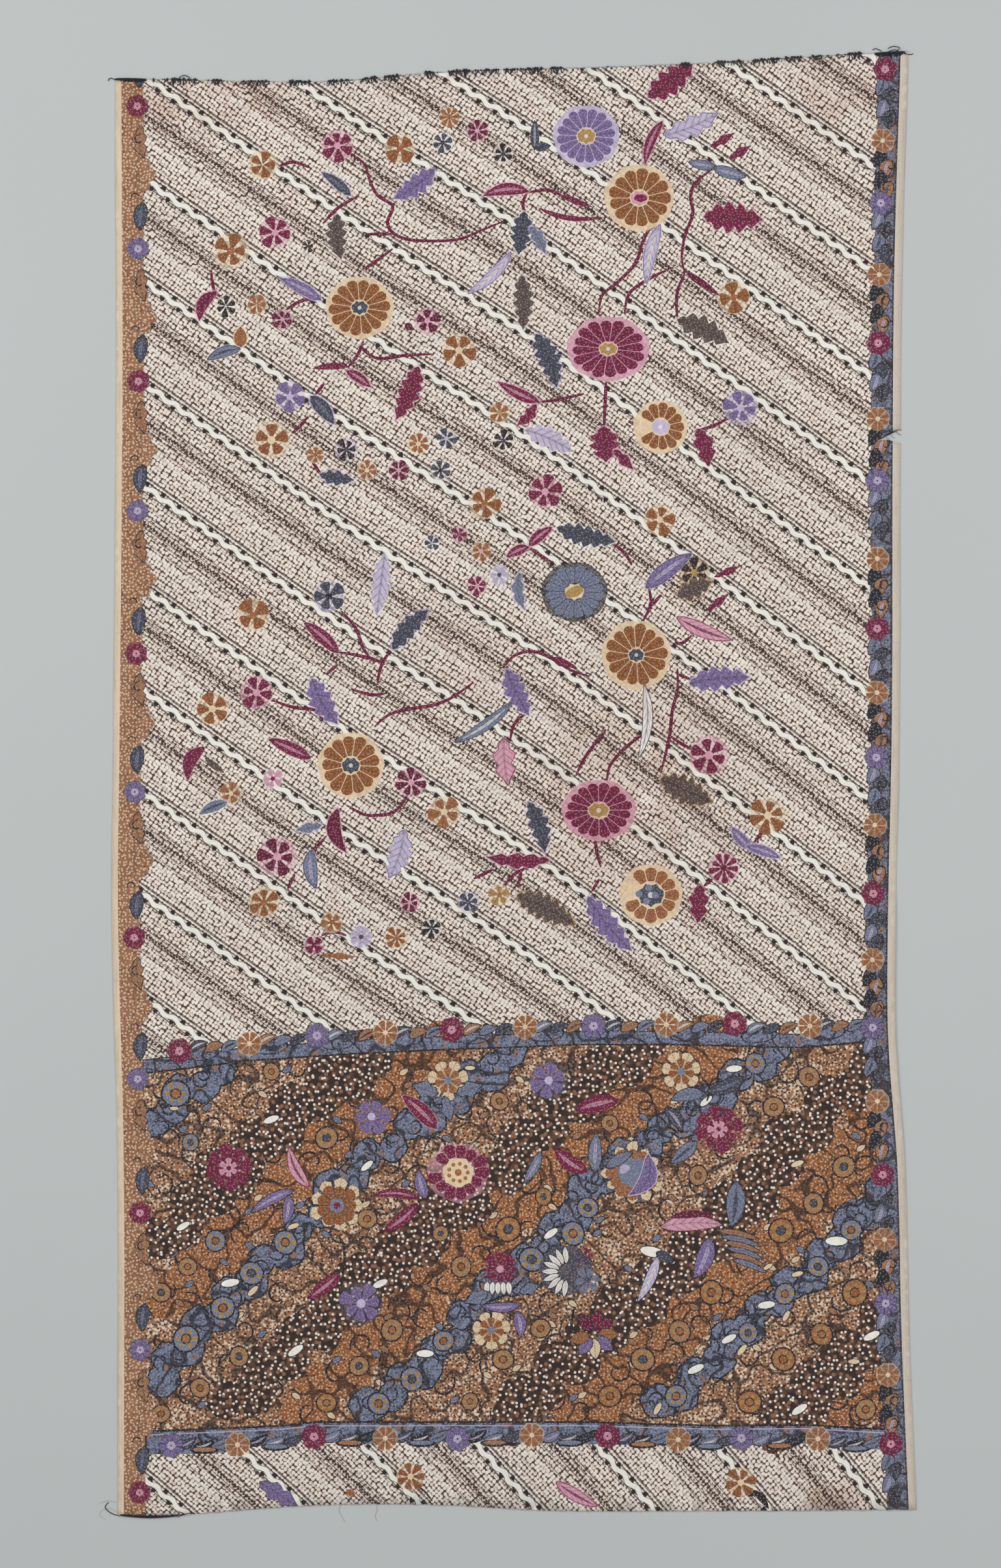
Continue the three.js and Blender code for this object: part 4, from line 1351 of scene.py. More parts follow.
def field_colour(pen, dyes, sizes, place):
    """The striped field: white ribbons, dotted rows and fine filling between them."""
    rows = pen.node("ShaderNodeUVMap", {"uv_map": "Rows"})
    run = pen.node("ShaderNodeSeparateXYZ", None, {0: rows})
    passed = run.beside(1)
    pitch = sizes.ribbon_pitch / MM
    share = passed.fract()
    off = ((passed + 0.5).fract() - 0.5) * pitch
    count = pen.math("FLOOR", passed + 0.5)
    # The ribbon weaves from side to side, and a black blot fills each bay.
    angle = run * (TAU / (sizes.ribbon_wave / MM)) + count * 2.1
    wave = angle.sine()
    hand = noise(pen, place, 9, 1.0) - 0.5
    from_ribbon = abs(off - wave * 2.2 + hand * 1.4)
    ribbon = from_ribbon.step(3.8, 2.9)
    edging = from_ribbon.step(5.0, 4.2)
    bay = pen.math("COSINE", angle) * 1.25
    aside = off + wave * 5.4
    blots = pen.math("SQRT", bay * bay + aside * aside * 0.095).step(1.1, 0.8)
    down = share * pitch
    # Filling: pale dots in rows, brown between them and dark in the gaps where four dots meet.
    dot = 5.2
    jitter = pen.node("ShaderNodeCombineXYZ", None, {0: run + hand * 2.4, 1: down + hand * 1.6})
    from_dot = from_dots(pen, jitter, dot, 0.38)
    lively = noise(pen, place, 26).step(0.3, 0.7)
    pale = from_dot.step(2.8, 1.8) * (0.85 + lively * 0.15)
    gaps = from_dot.step(2.45, 3.05)
    # Ruled dark lines run between the rows, close together in the darker stripes.
    off_line = abs((down / (2 * dot) + hand * 0.12).fract() - 0.5)
    off_close = abs((down / dot + hand * 0.2).fract() - 0.5)
    broken = noise(pen, place, 7, 1.0).step(0.28, 0.5)
    lined = share.node(
        "ShaderNodeValToRGB",
        {"stops": [
            (0, 0.3), (0.08, 0.35), (0.22, 0.5), (0.26, 1), (0.44, 1), (0.48, 0.6), (0.57, 0.85),
            (0.6, 0.1), (0.63, 0.1), (0.66, 0.35), (0.86, 0.4), (0.88, 1), (0.93, 0.8), (1, 0.5),
        ]},
        {0: share},
    )
    brown = share.node(
        "ShaderNodeValToRGB",
        {"stops": [
            (0, 0.1), (0.24, 0.15), (0.32, 0.85), (0.41, 0.8), (0.46, 0.35), (0.57, 0.55), (0.61, 0),
            (0.86, 0.15), (0.93, 0.5), (1, 0.2),
        ]},
        {0: share},
    )
    ruled = off_close.step(0.33, 0.43) * lined.step(0.7, 0.95)
    ruled = ruled.most(off_line.step(0.39, 0.45) * lined) * (broken * 0.65 + 0.25)
    # Darker still: one row of beads in each stripe, and the rails on either side of a ribbon.
    beads = ((run / 5.0 + hand * 0.3) * TAU).sine().step(-0.8, 0)
    heavy = abs(down - 42.5).step(2.0, 1.1) * beads
    rails = abs(abs(off) - 6.6).step(1.2, 0.5) * 0.85
    rails = rails.most((off + 12.6).near(0, 1.1) * 0.8)
    dark = (gaps * 0.92).most(heavy * 0.95).most(rails)
    tint = plain(pen, linear("B89A88"))
    between_dots = tint.blend(linear("B98B72"), noise(pen, place, 45).step(0.35, 0.65) * 0.5)
    clouded = noise(pen, place, 70).step(0.3, 0.7) * 0.4 + 0.4
    between_dots = between_dots.blend(linear("8C6450"), brown * clouded)
    paper = between_dots.blend(linear("FAF1E5"), pale * (1 - brown * 0.2))
    marked = paper.blend(linear("53362B"), ruled)
    marked = marked.blend(linear("2A1917"), dark)
    marked = marked.blend(tuple(dyes.white), (off + 9.4).near(0, 1.3) * 0.55)
    marked = marked.blend(tuple(dyes.white), (down - 71).near(0, 1.7) * 0.6)
    marked = marked.blend(tuple(dyes.ink), (edging * 0.55).most(blots))
    return marked.blend(tuple(dyes.white), ribbon)


def head_colour(pen, dyes, place):
    """The head panel's brown ground: pale dots over two browns."""
    base = plain(pen, dyes.tan).blend(linear("6B4836"), noise(pen, place, 11).step(0.46, 0.7) * 0.9)
    base = base.blend(linear("E0C3A6"), dots(pen, place, 5.4, 1.35, 0.85))
    cream = noise(pen, place, 30).step(0.48, 0.6)
    base = base.blend(linear("EED9C0"), dots(pen, place, 6.4, 2.2, 0.8) * cream * 0.85)
    base = base.blend(linear("2E1C18"), scrollwork(pen, place, 40, 2.2) * 0.8)
    return base.blend(tuple(dyes.ink), dots(pen, place, 6.2, 1.4, 1.0) * 0.95)


def rusted_colour(pen, dyes, place):
    """Orange brown between the bands, with small dots of both kinds."""
    base = plain(pen, dyes.rust).blend(linear("7A4A2C"), noise(pen, place, 14).step(0.42, 0.7) * 0.75)
    base = base.blend(linear("DDB795"), dots(pen, place, 4.6, 1.2, 0.85) * 0.8)
    base = base.blend(linear("2E1C18"), scrollwork(pen, place, 36, 2.2) * 0.8)
    return base.blend(tuple(dyes.ink), dots(pen, place, 6.8, 1.15, 1.0) * 0.85)


def dotted_colour(pen, dyes, place):
    """Brown-black filled with clusters of white dots."""
    base = plain(pen, dyes.earth).blend(linear("6A4A38"), noise(pen, place, 12).step(0.45, 0.7) * 0.8)
    base = base.blend(linear("A9795A"), dots(pen, place, 9.5, 2.6, 1.0) * 0.6)
    return base.blend(linear("F0E4D6"), dots(pen, place, 8.6, 1.7, 0.85))


def banded_colour(pen, dyes, place):
    """Blue-grey with fine pale dots and darker clouding."""
    base = plain(pen, dyes.blue).blend(tuple(dyes.slate), noise(pen, place, 12).step(0.42, 0.68) * 0.8)
    base = base.blend(linear("A9AEBB"), dots(pen, place, 4.2, 0.95, 0.8) * 0.7)
    base = base.blend(linear("9A6A48"), noise(pen, place, 17).step(0.6, 0.64) * 0.7)
    base = base.blend(linear("201B22"), scrollwork(pen, place, 30, 2.0) * 0.8)
    return base.blend(tuple(dyes.ink), dots(pen, place, 7.0, 1.3, 1.0) * 0.7)


def border_colour(pen, dyes, place):
    """Red-brown with rows of fine pale dots."""
    base = plain(pen, dyes.tan).blend(linear("8A5A3E"), noise(pen, place, 22).step(0.4, 0.65) * 0.6)
    base = base.blend(linear("E3C6AA"), dots(pen, place, 4.6, 1.3, 0.8) * 0.85)
    return base.blend(tuple(dyes.ink), dots(pen, place, 7.5, 1.1, 1.0) * 0.55)


def selvedge_colour(pen, dyes, place, across):
    """Plain cotton, warmer beside the brown border, with a few lengthwise threads showing."""
    base = plain(pen, dyes.selvedge).blend(linear("D8CBBA"), across.step(-0.1, 0.1))
    drawn_out = pen.node("ShaderNodeVectorMath", {"operation": "MULTIPLY"}, {0: place, 1: (0.9, 0.02, 1)})
    stripe = noise(pen, drawn_out, 1)
    return base.blend(linear("B79A7E"), stripe.step(0.5, 0.75) * 0.45)


YARN_PITCH = 0.9  # Two yarns of the weave, in millimetres.


def cotton(dyes, sizes):
    """The dyed cotton: each ground, the drawn dyes over it, stains, and a plain weave in the bump, with
    the weave's shade painted faintly into the colour.
    """
    material, pen = new_material("batik_cotton")
    metres = pen.node("ShaderNodeTexCoord", out="Object")
    place = metres.times(1 / MM)
    across = pen.node("ShaderNodeSeparateXYZ", None, {0: metres})
    ground = pen.node("ShaderNodeAttribute", {"attribute_name": "Ground"}, out="Fac")
    colour = field_colour(pen, dyes, sizes, place)
    fills = {
        BORDER: border_colour(pen, dyes, place),
        HEAD: head_colour(pen, dyes, place),
        RUSTED: rusted_colour(pen, dyes, place),
        DOTTED: dotted_colour(pen, dyes, place),
        BANDED: banded_colour(pen, dyes, place),
        SELVEDGE: selvedge_colour(pen, dyes, place, across),
    }
    for number, fill in fills.items():
        colour = colour.blend(fill, abs(ground - number).step(0.5, 0.4))
    drawn = pen.node("ShaderNodeAttribute", {"attribute_name": "Dye"}, out="Color")
    cover = drawn.beside("Alpha")
    veins = pen.node("ShaderNodeSeparateXYZ", None, {0: pen.node("ShaderNodeUVMap", {"uv_map": "Veins"})})
    across_leaf = abs(veins.beside(1))
    slant = (veins * 7 - across_leaf * 1.3) * TAU
    side_veins = slant.sine().step(0.55, 0.95) * across_leaf.step(1.1, 0.9)
    midrib = across_leaf.step(0.16, 0.05)
    wash = noise(pen, place, 7, 3.0)
    drawn = drawn.times((wash - 0.5) * 0.55 + 1.0)
    drawn = drawn.blend(tuple(dyes.ink), side_veins * 0.4)
    drawn = drawn.blend(tuple(dyes.ink), midrib * 0.35)
    drawn = drawn.blend(tuple(dyes.cream), dots(pen, place, 4.2, 0.8, 0.9) * 0.24)
    colour = colour.blend(drawn, cover)
    colour = stained(pen, colour, place)
    crackle = pen.node(
        "ShaderNodeTexVoronoi",
        {"voronoi_dimensions": "2D", "feature": "DISTANCE_TO_EDGE"},
        {"Vector": place, "Scale": 1 / 34, "Randomness": 1.0},
    )
    colour = colour.blend(linear("6B4A3A"), crackle.step(0.012, 0.004) * 0.22)
    yarn = TAU / YARN_PITCH
    warp = pen.node("ShaderNodeSeparateXYZ", None, {0: place})
    over = (warp * yarn).sine() * (warp.beside(1) * yarn).sine()
    # Painted shade of the weave: raised crossings are up to 3% lighter and the hollows between them
    # darker. The broad noise is the cloth's own uneven tone.
    colour = colour.times(over * 0.03 + (noise(pen, place, 130) - 0.5) * 0.16 + 1.0)
    soft = noise(pen, place, 60, 2.0)
    height = over * 0.12 + soft * 2.2 + noise(pen, place, 2.0) * 0.25
    roughness = noise(pen, place, 30) * 0.1 + 0.84
    finish_material(pen, colour, roughness, (height, 0.55, 0.0012), 0.12)
    return material


# Stains: place, half sizes across and along, strength.
STAINS = [
    ((165, 5), (190, 190), 0.3),
    ((-420, 925), (150, 50), 0.34),
    ((-60, 170), (120, 90), 0.14),
    ((430, 930), (110, 60), 0.26),
    ((430, -975), (60, 35), 0.4),
    ((470, -250), (60, 120), 0.1),
]


def stained(pen, colour, place):
    """Faint brown stains where the dye has bled."""
    for (x, y), (rx, ry), strength in STAINS:
        moved = pen.node("ShaderNodeVectorMath", {"operation": "SUBTRACT"}, {0: place, 1: (x, y, 0)})
        shrink = (1 / rx, 1 / ry, 0)
        scaled = pen.node("ShaderNodeVectorMath", {"operation": "MULTIPLY"}, {0: moved, 1: shrink})
        away = pen.node("ShaderNodeVectorMath", {"operation": "LENGTH"}, {0: scaled}, out="Value")
        cloud = away.step(1.15, 0.25) * noise(pen, place, 38).step(0.3, 0.65)
        colour = colour.node(
            "ShaderNodeMix",
            {"data_type": "RGBA", "blend_type": "MULTIPLY"},
            {0: cloud * strength, 6: colour, 7: (*linear("C99478"), 1)},
            out=2,
        )
    return colour


def thread_material(name, colour):
    """Twisted cotton thread, matt, with its plies showing in the bump and a painted highlight along each
    ply in its colour.
    """
    material, pen = new_material(name)
    place = pen.node("ShaderNodeTexCoord", out="Object").times(1 / MM)
    ply = pen.node(
        "ShaderNodeTexWave",
        {"wave_type": "BANDS", "bands_direction": "DIAGONAL"},
        {"Vector": place, "Scale": 0.9, "Distortion": 1.4},
        out="Fac",
    )
    # The ply bands are painted lighter than the thread's own colour: a painted highlight along the twist.
    ply_highlight = tuple(min(1, c * 2.6 + 0.01) for c in colour)
    ply_painted_light = plain(pen, colour).blend(ply_highlight, ply * 0.6)
    finish_material(pen, ply_painted_light, ply * 0.1 + 0.8, (ply, 0.5, 0.0002), 0.2)
    return material


# ---- Thread rows, by geometry nodes --------------------------------------------------------------


THREAD_SIDES = 6
BUNCH_LENGTH = 0.026  # About how far it is from one bunch of stitches to the next, in metres.


def thread_row_tree(name, material):
    """A node tree that sets short bowed threads along a rail."""
    tree = bpy.data.node_groups.new(name, "GeometryNodeTree")
    add = tree.interface.new_socket
    add(name="Geometry", in_out="INPUT", socket_type="NodeSocketGeometry")
    inputs = {
        "Float": ("Spacing", "Thread Radius", "Turn", "Lean", "Smallest", "Largest", "Bunching"),
        "Vector": ("Start", "Middle", "End"),
        "Int": ("Seed",),
    }
    for kind, labels in inputs.items():
        for label in labels:
            add(name=label, in_out="INPUT", socket_type="NodeSocket" + kind)
    add(name="Geometry", in_out="OUTPUT", socket_type="NodeSocketGeometry")
    pen = Wire(tree)
    given = tree.nodes.new("NodeGroupInput")

    def got(label):
        return Wire(tree, given.outputs[label])

    rail = pen.node("GeometryNodeMeshToCurve", None, {"Mesh": got("Geometry")})
    points = pen.node(
        "GeometryNodeResampleCurve", {"mode": "LENGTH"}, {"Curve": rail, "Length": got("Spacing")}
    )
    bow = pen.node(
        "GeometryNodeCurveQuadraticBezier",
        None,
        {"Resolution": 7, "Start": got("Start"), "Middle": got("Middle"), "End": got("End")},
    )
    section = pen.node(
        "GeometryNodeCurvePrimitiveCircle",
        None,
        {"Resolution": THREAD_SIDES, "Radius": got("Thread Radius")},
    )
    thread = pen.node(
        "GeometryNodeCurveToMesh", None, {"Curve": bow, "Profile Curve": section, "Fill Caps": True}
    )
    tangent = pen.node("GeometryNodeInputTangent")
    facing = pen.node("FunctionNodeAlignRotationToVector", {"axis": "X"}, {"Vector": tangent})
    lean = random_value(pen, got("Lean") * -1.0, got("Lean"), got("Seed"))
    spin = pen.node("ShaderNodeCombineXYZ", None, {2: got("Turn") + lean})
    turned = pen.node(
        "FunctionNodeRotateRotation",
        {"rotation_space": "LOCAL"},
        {0: facing, 1: pen.node("FunctionNodeEulerToRotation", None, {0: spin})},
    )
    where = pen.node("GeometryNodeInputPosition")
    bunch = pen.node(
        "ShaderNodeTexNoise", {"noise_dimensions": "3D"}, {"Vector": where, "Scale": 1 / BUNCH_LENGTH}
    )
    size = random_value(pen, got("Smallest"), got("Largest"), got("Seed") + 1)
    size = size * (1 - got("Bunching") * bunch.step(0.53, 0.43))
    stitches = pen.node(
        "GeometryNodeInstanceOnPoints",
        None,
        {"Points": points, "Instance": thread, "Rotation": turned, "Scale": size},
    )
    solid = pen.node("GeometryNodeRealizeInstances", None, {0: stitches})
    dressed = pen.node("GeometryNodeSetMaterial", None, {"Geometry": solid, "Material": material})
    result = tree.nodes.new("NodeGroupOutput")
    tree.links.new(dressed.socket, result.inputs[0])
    return tree


def random_value(pen, low, high, seed):
    """An even random number for each point."""
    ends = {2: low, 3: high, "Seed": seed}
    return pen.node("FunctionNodeRandomValue", {"data_type": "FLOAT"}, ends, out=1)


def grown(name, rail, tree, values):
    """Runs a node tree on a rail of points and gives the plain mesh."""
    line = bpy.data.meshes.new(name)
    line.from_pydata(rail, [(n, n + 1) for n in range(len(rail) - 1)], [])
    carrier = bpy.data.objects.new(name, line)
    bpy.context.scene.collection.objects.link(carrier)
    modifier = carrier.modifiers.new("Thread row", "NODES")
    modifier.node_group = tree
    for item in tree.interface.items_tree:
        if item.in_out == "INPUT" and item.name in values:
            modifier[item.identifier] = values[item.name]
    shown = carrier.evaluated_get(bpy.context.evaluated_depsgraph_get())
    mesh = bpy.data.meshes.new_from_object(shown)
    bpy.data.objects.remove(carrier)
    return mesh


# ---- Threads laid one by one ---------------------------------------------------------------------


def tube(points, radius):
    """A closed tube through points, thinner towards its ends."""
    line = [Vector(p) for p in smooth_line(points, 3)]
    verts, faces = [], []
    for n, p in enumerate(line):
        ahead = (line[min(n + 1, len(line) - 1)] - line[max(n - 1, 0)]).normalized()
        side = ahead.cross(Vector((0, 0, 1)))
        side = side.normalized() if side.length > 0.01 else Vector((1, 0, 0))
        rise = side.cross(ahead)
        place = 2 * n / (len(line) - 1) - 1
        thick = radius * (1 - 0.45 * place**6)
        p = Vector((p.x, p.y, max(p.z, thick + 0.0001)))
        for k in range(THREAD_SIDES):
            angle = TAU * k / THREAD_SIDES
            verts.append(p + thick * (math.cos(angle) * side + math.sin(angle) * rise))
    for n in range(len(line) - 1):
        first = n * THREAD_SIDES
        for k in range(THREAD_SIDES):
            a, b = first + k, first + (k + 1) % THREAD_SIDES
            faces.append((a, a + THREAD_SIDES, b + THREAD_SIDES, b))
    faces.append(tuple(range(THREAD_SIDES)))
    faces.append(tuple(range(len(verts) - 1, len(verts) - 1 - THREAD_SIDES, -1)))
    return verts, faces


def threads_mesh(name, strands, material):
    """One mesh from strands: points in millimetres and a radius in metres."""
    verts, faces = [], []
    for points, radius in strands:
        more, round_faces = tube([tuple(c * MM for c in p) for p in points], radius)
        faces += [tuple(v + len(verts) for v in f) for f in round_faces]
        verts += more
    mesh = bpy.data.meshes.new(name)
    mesh.from_pydata(verts, [], faces)
    mesh.materials.append(material)
    mesh.polygons.foreach_set("use_smooth", [True] * len(faces))
    return mesh


def knot_strands(chance, node, edge, reach, radius):
    """Thread wound many times over the cloth's edge, with a core, between a CAD knot's two ends."""
    low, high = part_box(node)
    x0, x1 = low[0] / MM, high[0] / MM
    strands = []
    inward = -1 if reach > 0 else 1
    count = int((x1 - x0) / 1.5)
    for n in range(count):
        x = x0 + (x1 - x0) * (n + 0.5) / count + chance.uniform(-0.5, 0.5)
        y = edge(x)
        swell = 1 - 0.55 * abs(2 * n / count - 1) ** 2
        inside = y + inward * abs(reach) * chance.uniform(0.6, 1.1) * swell
        outside = y - inward * 1.3 * swell
        lean = chance.uniform(-2.2, 2.2)
        top = 1.9 + 0.9 * swell + chance.uniform(-0.2, 0.3)
        turn = [
            (x - lean, inside, 1.35),
            (x - lean / 2, (inside + y) / 2, top),
            (x, y, top),
            (x + 0.2, outside, 1.2),
            (x + lean / 2, y, 0.45),
        ]
        strands.append((turn, radius))
    core = []
    for t in (0, 0.25, 0.5, 0.75, 1):
        x = x0 + (x1 - x0) * t
        core.append((x, edge(x), 1.1 + 0.5 * math.sin(9 * t)))
    strands.append((core, radius * 1.8))
    return strands


# ---- Operators -----------------------------------------------------------------------------------


# The stage in metres: the camera's place beside the cloth's middle, the soft boxes and the floor.
CAMERA_ASIDE = (-0.0185, 0.0008)
SOFT_BOXES = (("soft_box_left", -2.6, 1.2, 1.0), ("soft_box_right", 2.6, 0.6, 0.8))  # Name, x, y, share.
SOFT_BOX_SIZE = 2.4
SOFT_BOX_HEIGHT = 3.0
SKY_TINT = (0.93, 0.97, 1.0, 1)
SKY_STRENGTH = 0.5
FLOOR_HALF = 14


class SARONG_OT_stage(bpy.types.Operator):
    """Adds the camera, the soft boxes and the pale floor"""

    bl_idname = "sarong.stage"
    bl_label = "Add Stage"

    def execute(self, context):
        stage = context.scene.sarong_stage
        centre = (CAD_LOW + CAD_HIGH) / 2
        camera_data = bpy.data.cameras.new("camera")
        camera_data.lens = stage.lens
        camera = bpy.data.objects.new("camera", camera_data)
        context.scene.collection.objects.link(camera)
        height = stage.view_height * camera_data.lens / camera_data.sensor_width
        camera.location = (centre.x + CAMERA_ASIDE[0], centre.y + CAMERA_ASIDE[1], height)
        context.scene.camera = camera
        context.scene.view_settings.view_transform = "Standard"
        for name, x, y, share in SOFT_BOXES:
            light_data = bpy.data.lights.new(name, "AREA")
            light_data.size = SOFT_BOX_SIZE
            light_data.energy = stage.light * share
            light = bpy.data.objects.new(name, light_data)
            light.location = (x, y, SOFT_BOX_HEIGHT)
            light.rotation_euler = (-light.location).to_track_quat("-Z", "Y").to_euler()
            context.scene.collection.objects.link(light)
        world = bpy.data.worlds.new("studio")
        world.use_nodes = True
        sky = world.node_tree.nodes["Background"]
        sky.inputs["Color"].default_value = SKY_TINT
        sky.inputs["Strength"].default_value = SKY_STRENGTH
        context.scene.world = world
        mesh = bpy.data.meshes.new("floor")
        corners = [(a * FLOOR_HALF, b * FLOOR_HALF, 0) for a, b in ((-1, -1), (1, -1), (1, 1), (-1, 1))]
        mesh.from_pydata(corners, [], [(0, 1, 2, 3)])
        material, pen = new_material("floor_card")
        place = pen.node("ShaderNodeTexCoord", out="Object").times(1 / MM)
        colour = plain(pen, stage.floor).times(noise(pen, place, 400) * 0.03 + 0.985)
        finish_material(pen, colour, 0.95)
        mesh.materials.append(material)
        floor = bpy.data.objects.new("floor", mesh)
        context.scene.collection.objects.link(floor)
        return {"FINISHED"}


class SARONG_OT_cloth(bpy.types.Operator):
    """Adds the batik cloth with its whole pattern"""

    bl_idname = "sarong.cloth"
    bl_label = "Add Cloth"

    def execute(self, context):
        sizes, dyes = context.scene.sarong_sizes, context.scene.sarong_dyes
        art = Drawing(dyes, sizes.seed)
        draw_field_flowers(art)
        draw_head(art)
        draw_strips(art)
        draw_borders(art)
        mesh = cloth_mesh(art, sizes)
        mesh.materials.append(cotton(dyes, sizes))
        cloth = add_piece("batik_cloth", mesh, ["cloth_panel"])
        width = (RIGHT[len(RIGHT) // 2][0] - LEFT[len(LEFT) // 2][0]) * MM
        run = (TOP[len(TOP) // 2][1] - BOTTOM[len(BOTTOM) // 2][1]) * MM
        return {"FINISHED"}


# Where the row of whipped stitches starts and ends along the top, and how much closer than their spacing
# they are set, since most of them shrink away between the bunches.
ROW_ENDS = (-500, 492)
CROWDING = 0.6


class SARONG_OT_whipping(bpy.types.Operator):
    """Adds the black stitches whipped over the top end"""

    bl_idname = "sarong.whipping"
    bl_label = "Add Whipping"

    def execute(self, context):
        sizes, dyes = context.scene.sarong_sizes, context.scene.sarong_dyes
        black = thread_material("black_thread", dyes.thread)
        tree = thread_row_tree("Whipped Stitches", black)
        rise = (sizes.clearance + sizes.thickness) / MM + 0.5
        rail = [(x * MM, y * MM, 0) for x, y in TOP if ROW_ENDS[0] < x < ROW_ENDS[1]]
        stitch = sizes.stitch_length
        values = {
            "Spacing": sizes.stitch_spacing * CROWDING,
            "Start": (-0.0008, -stitch, rise * MM),
            "Middle": (0.0, stitch + 0.0022, 0.0019),
            "End": (0.0014, -0.0004, 0.0012),
            "Thread Radius": sizes.thread_radius,
            "Turn": 0.0,
            "Lean": 0.75,
            "Smallest": 0.6,
            "Largest": 1.35,
            "Bunching": 0.75,
            "Seed": sizes.seed,
        }
        mesh = grown("whipped_thread", rail, tree, values)
        piece = add_piece("whipped_thread", mesh, ["overcast_top"])
        piece["sarong_thread"] = True
        return {"FINISHED"}


class SARONG_OT_knots(bpy.types.Operator):
    """Adds the three knotted thread ends at the corners"""

    bl_idname = "sarong.knots"
    bl_label = "Add Knots"

    def execute(self, context):
        sizes = context.scene.sarong_sizes
        black = bpy.data.materials["black_thread"]
        chance = random.Random(sizes.seed + 2)
        knots = {
            "knot_top_left": (top_edge, 4.2, [[(-541, 957, 1.6), (-549, 960, 1.2), (-552, 956, 0.7)]]),
            "knot_top_right": (top_edge, 6.5, [
                [(520, 996, 2.4), (524, 1001, 2.6), (515, 1003, 1.6), (508, 1000, 1.0)],
                [(528, 995, 2.0), (536, 992, 1.6), (543, 993, 0.8)],
                [(500, 996, 1.6), (492, 1000, 1.2), (487, 998, 0.7)],
                [(527, 992, 2.6), (518, 998, 3.0), (508, 995, 2.6), (500, 989, 1.8)],
            ]),
            "knot_bottom_left": (bottom_edge, 2.6, [
                [(-458, -995, 1.2), (-446, -991, 1.4), (-436, -990, 1.2)],
                [(-536, -994, 1.0), (-548, -990, 0.8), (-556, -982, 0.6), (-551, -975, 0.6)],
            ]),
        }
        for node, (edge, reach, ends) in knots.items():
            side = reach if edge is top_edge else -reach
            strands = knot_strands(chance, node, edge, side, sizes.thread_radius)
            strands += [(points, sizes.thread_radius * 0.8) for points in ends]
            name = "thread_" + node
            piece = add_piece(name, threads_mesh(name, strands, black), [node])
            piece["sarong_thread"] = True
        return {"FINISHED"}


class SARONG_OT_raw_ends(bpy.types.Operator):
    """Adds the short frayed yarns along both cut ends"""

    bl_idname = "sarong.raw_ends"
    bl_label = "Add Frayed Ends"

    def execute(self, context):
        sizes = context.scene.sarong_sizes
        yarn = thread_material("cotton_yarn", linear("A08C7C"))
        tree = thread_row_tree("Frayed Yarns", yarn)
        level = (sizes.clearance + sizes.thickness / 2) + sizes.relief * 0.22 * MM
        for name, side, turn in (("frayed_foot", BOTTOM, math.pi), ("frayed_top", TOP, 0.0)):
            rail = [(x * MM, y * MM, level) for x, y in side]
            values = {
                "Spacing": 0.0021,
                "Start": (0.0, -0.0012, 0.0),
                "Middle": (0.0002, 0.0006, 0.0003),
                "End": (0.0004, 0.0017, -0.0001),
                "Thread Radius": 0.00017,
                "Turn": turn,
                "Lean": 0.5,
                "Smallest": 0.45,
                "Largest": 1.3,
                "Bunching": 0.0,
                "Seed": sizes.seed + (3 if turn else 4),
            }
            piece = add_piece(name, grown(name, rail, tree, values))
            piece["sarong_thread"] = True
        return {"FINISHED"}


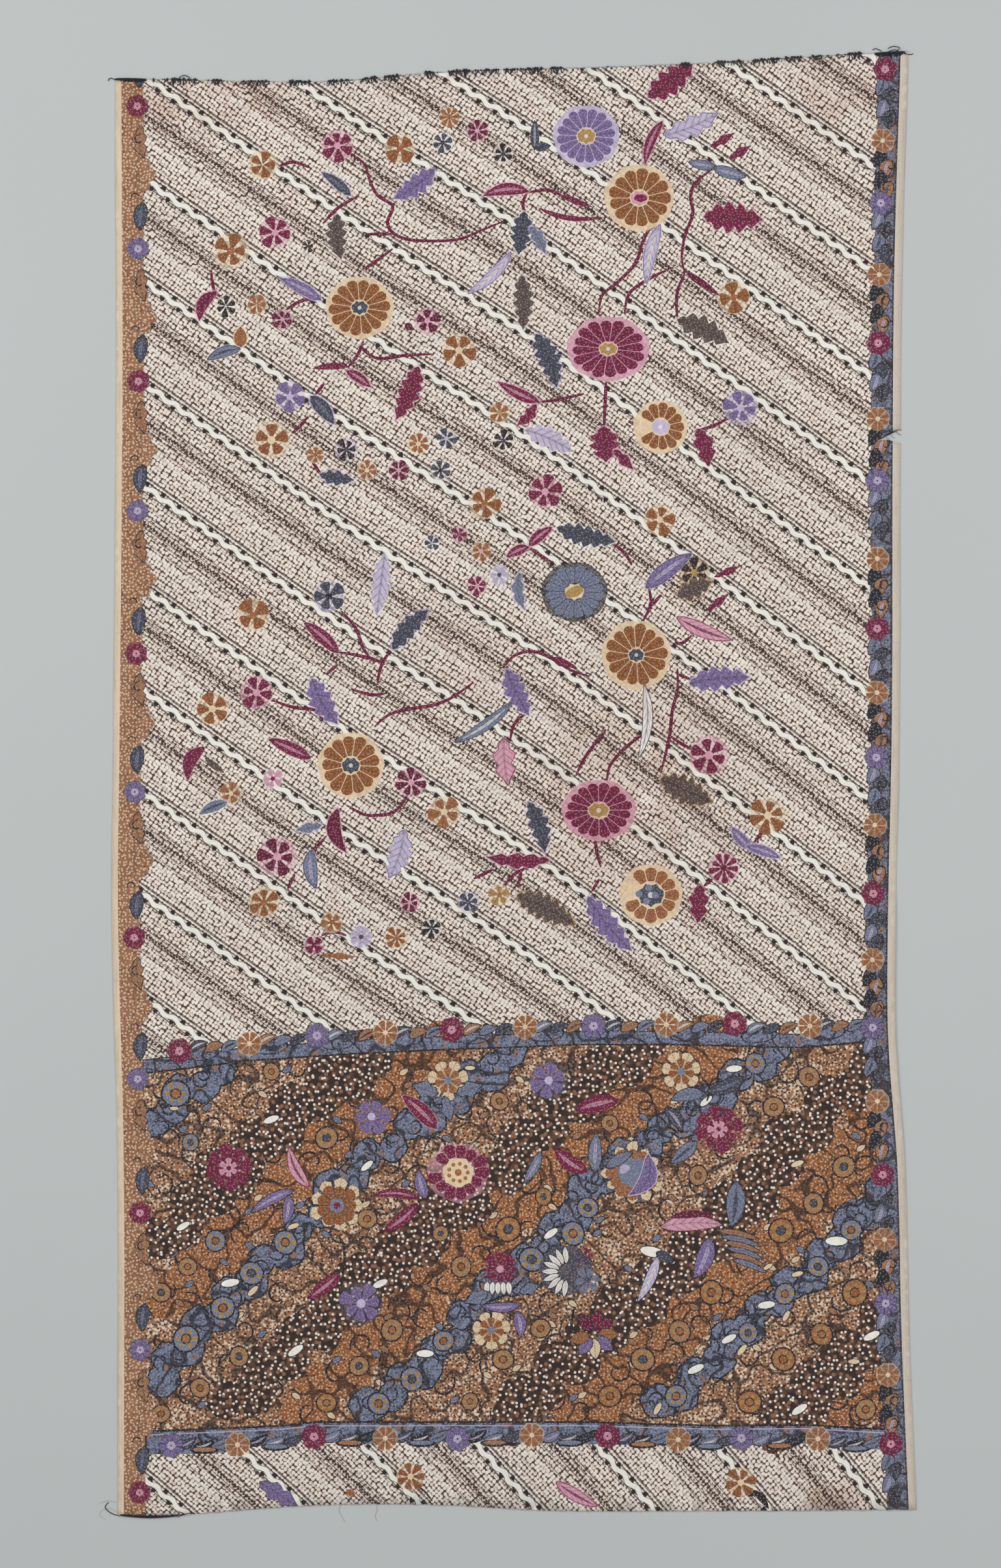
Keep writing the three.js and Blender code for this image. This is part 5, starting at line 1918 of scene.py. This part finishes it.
class SARONG_OT_loose_threads(bpy.types.Operator):
    """Adds the loose threads at the foot, the left corner and the torn edge"""

    bl_idname = "sarong.loose_threads"
    bl_label = "Add Loose Threads"

    def execute(self, context):
        black = bpy.data.materials["black_thread"]
        yarn = bpy.data.materials["cotton_yarn"]
        loose = [
            ([(-236, -979, 0.9), (-238, -986, 0.7), (-234, -994, 0.4), (-230, -1002, 0.4)], 0.00022),
            ([(-187, -978, 0.9), (-186, -986, 0.7), (-189, -994, 0.4), (-186, -1001, 0.4)], 0.00022),
            ([(-538, -990, 0.8), (-549, -984, 0.5), (-560, -986, 0.4), (-563, -993, 0.4),
              (-556, -999, 0.4)], 0.00018),
            ([(-541, -976, 0.8), (-552, -973, 0.5), (-563, -977, 0.4)], 0.00018),
        ]
        mesh = threads_mesh("loose_yarns", loose, yarn)
        add_piece("loose_yarns", mesh)["sarong_thread"] = True
        loop = [
            (-457, 953, 1.5), (-455, 960, 2.6), (-448, 963.5, 3.0), (-441, 960, 2.6), (-438, 953.5, 1.5)
        ]
        lips = [
            (loop, 0.0006),
            ([(521, 480.6, 1.2), (513, 477.5, 1.9), (505, 473.6, 1.8), (497, 469.8, 1.4)], 0.0005),
            ([(527, 482, 0.8), (519, 481.4, 1.9), (510, 477.2, 2.0), (503, 474.5, 1.6)], 0.0004),
            ([(519, 480, 1.3), (523, 476, 1.0), (527, 475, 0.6)], 0.00025),
            ([(512, 476, 1.3), (514, 472.5, 1.0), (518, 471, 0.5)], 0.00022),
            ([(505, 472.5, 1.3), (507, 470.6, 0.9), (511, 470.2, 0.5)], 0.0002),
        ]
        mesh = threads_mesh("torn_lip_threads", lips, black)
        add_piece("torn_lip_threads", mesh)["sarong_thread"] = True
        return {"FINISHED"}


# ---- Panel and registration ----------------------------------------------------------------------

STEPS = (
    SARONG_OT_stage,
    SARONG_OT_whipping,
    SARONG_OT_knots,
    SARONG_OT_raw_ends,
    SARONG_OT_loose_threads,
    SARONG_OT_cloth,
)


class SARONG_PT_panel(bpy.types.Panel):
    """Lists the sarong's pieces with their sizes and dyes"""

    bl_idname = "SARONG_PT_panel"
    bl_label = "Batik Sarong"
    bl_space_type = "VIEW_3D"
    bl_region_type = "UI"
    bl_category = "Sarong"

    def draw(self, context):
        layout = self.layout
        for step in STEPS:
            layout.operator(step.bl_idname)
        for group in [getattr(context.scene, name) for name in GROUPS]:
            box = layout.box()
            for name in group.bl_rna.properties.keys():
                if name not in ("rna_type", "name"):
                    box.prop(group, name)


GROUPS = {"sarong_sizes": SarongSizes, "sarong_dyes": SarongDyes, "sarong_stage": SarongStage}


def register():
    for cls in (*GROUPS.values(), *STEPS, SARONG_PT_panel):
        bpy.utils.register_class(cls)
    for name, group in GROUPS.items():
        setattr(bpy.types.Scene, name, PointerProperty(type=group))


def unregister():
    for name in GROUPS:
        delattr(bpy.types.Scene, name)
    for cls in (SARONG_PT_panel, *reversed(STEPS), *GROUPS.values()):
        bpy.utils.unregister_class(cls)


def main():
    """Builds the stage and every piece."""
    register()
    bpy.ops.sarong.stage()
    bpy.ops.sarong.whipping()
    bpy.ops.sarong.knots()
    bpy.ops.sarong.raw_ends()
    bpy.ops.sarong.loose_threads()
    bpy.ops.sarong.cloth()


if __name__ == "__main__":
    main()
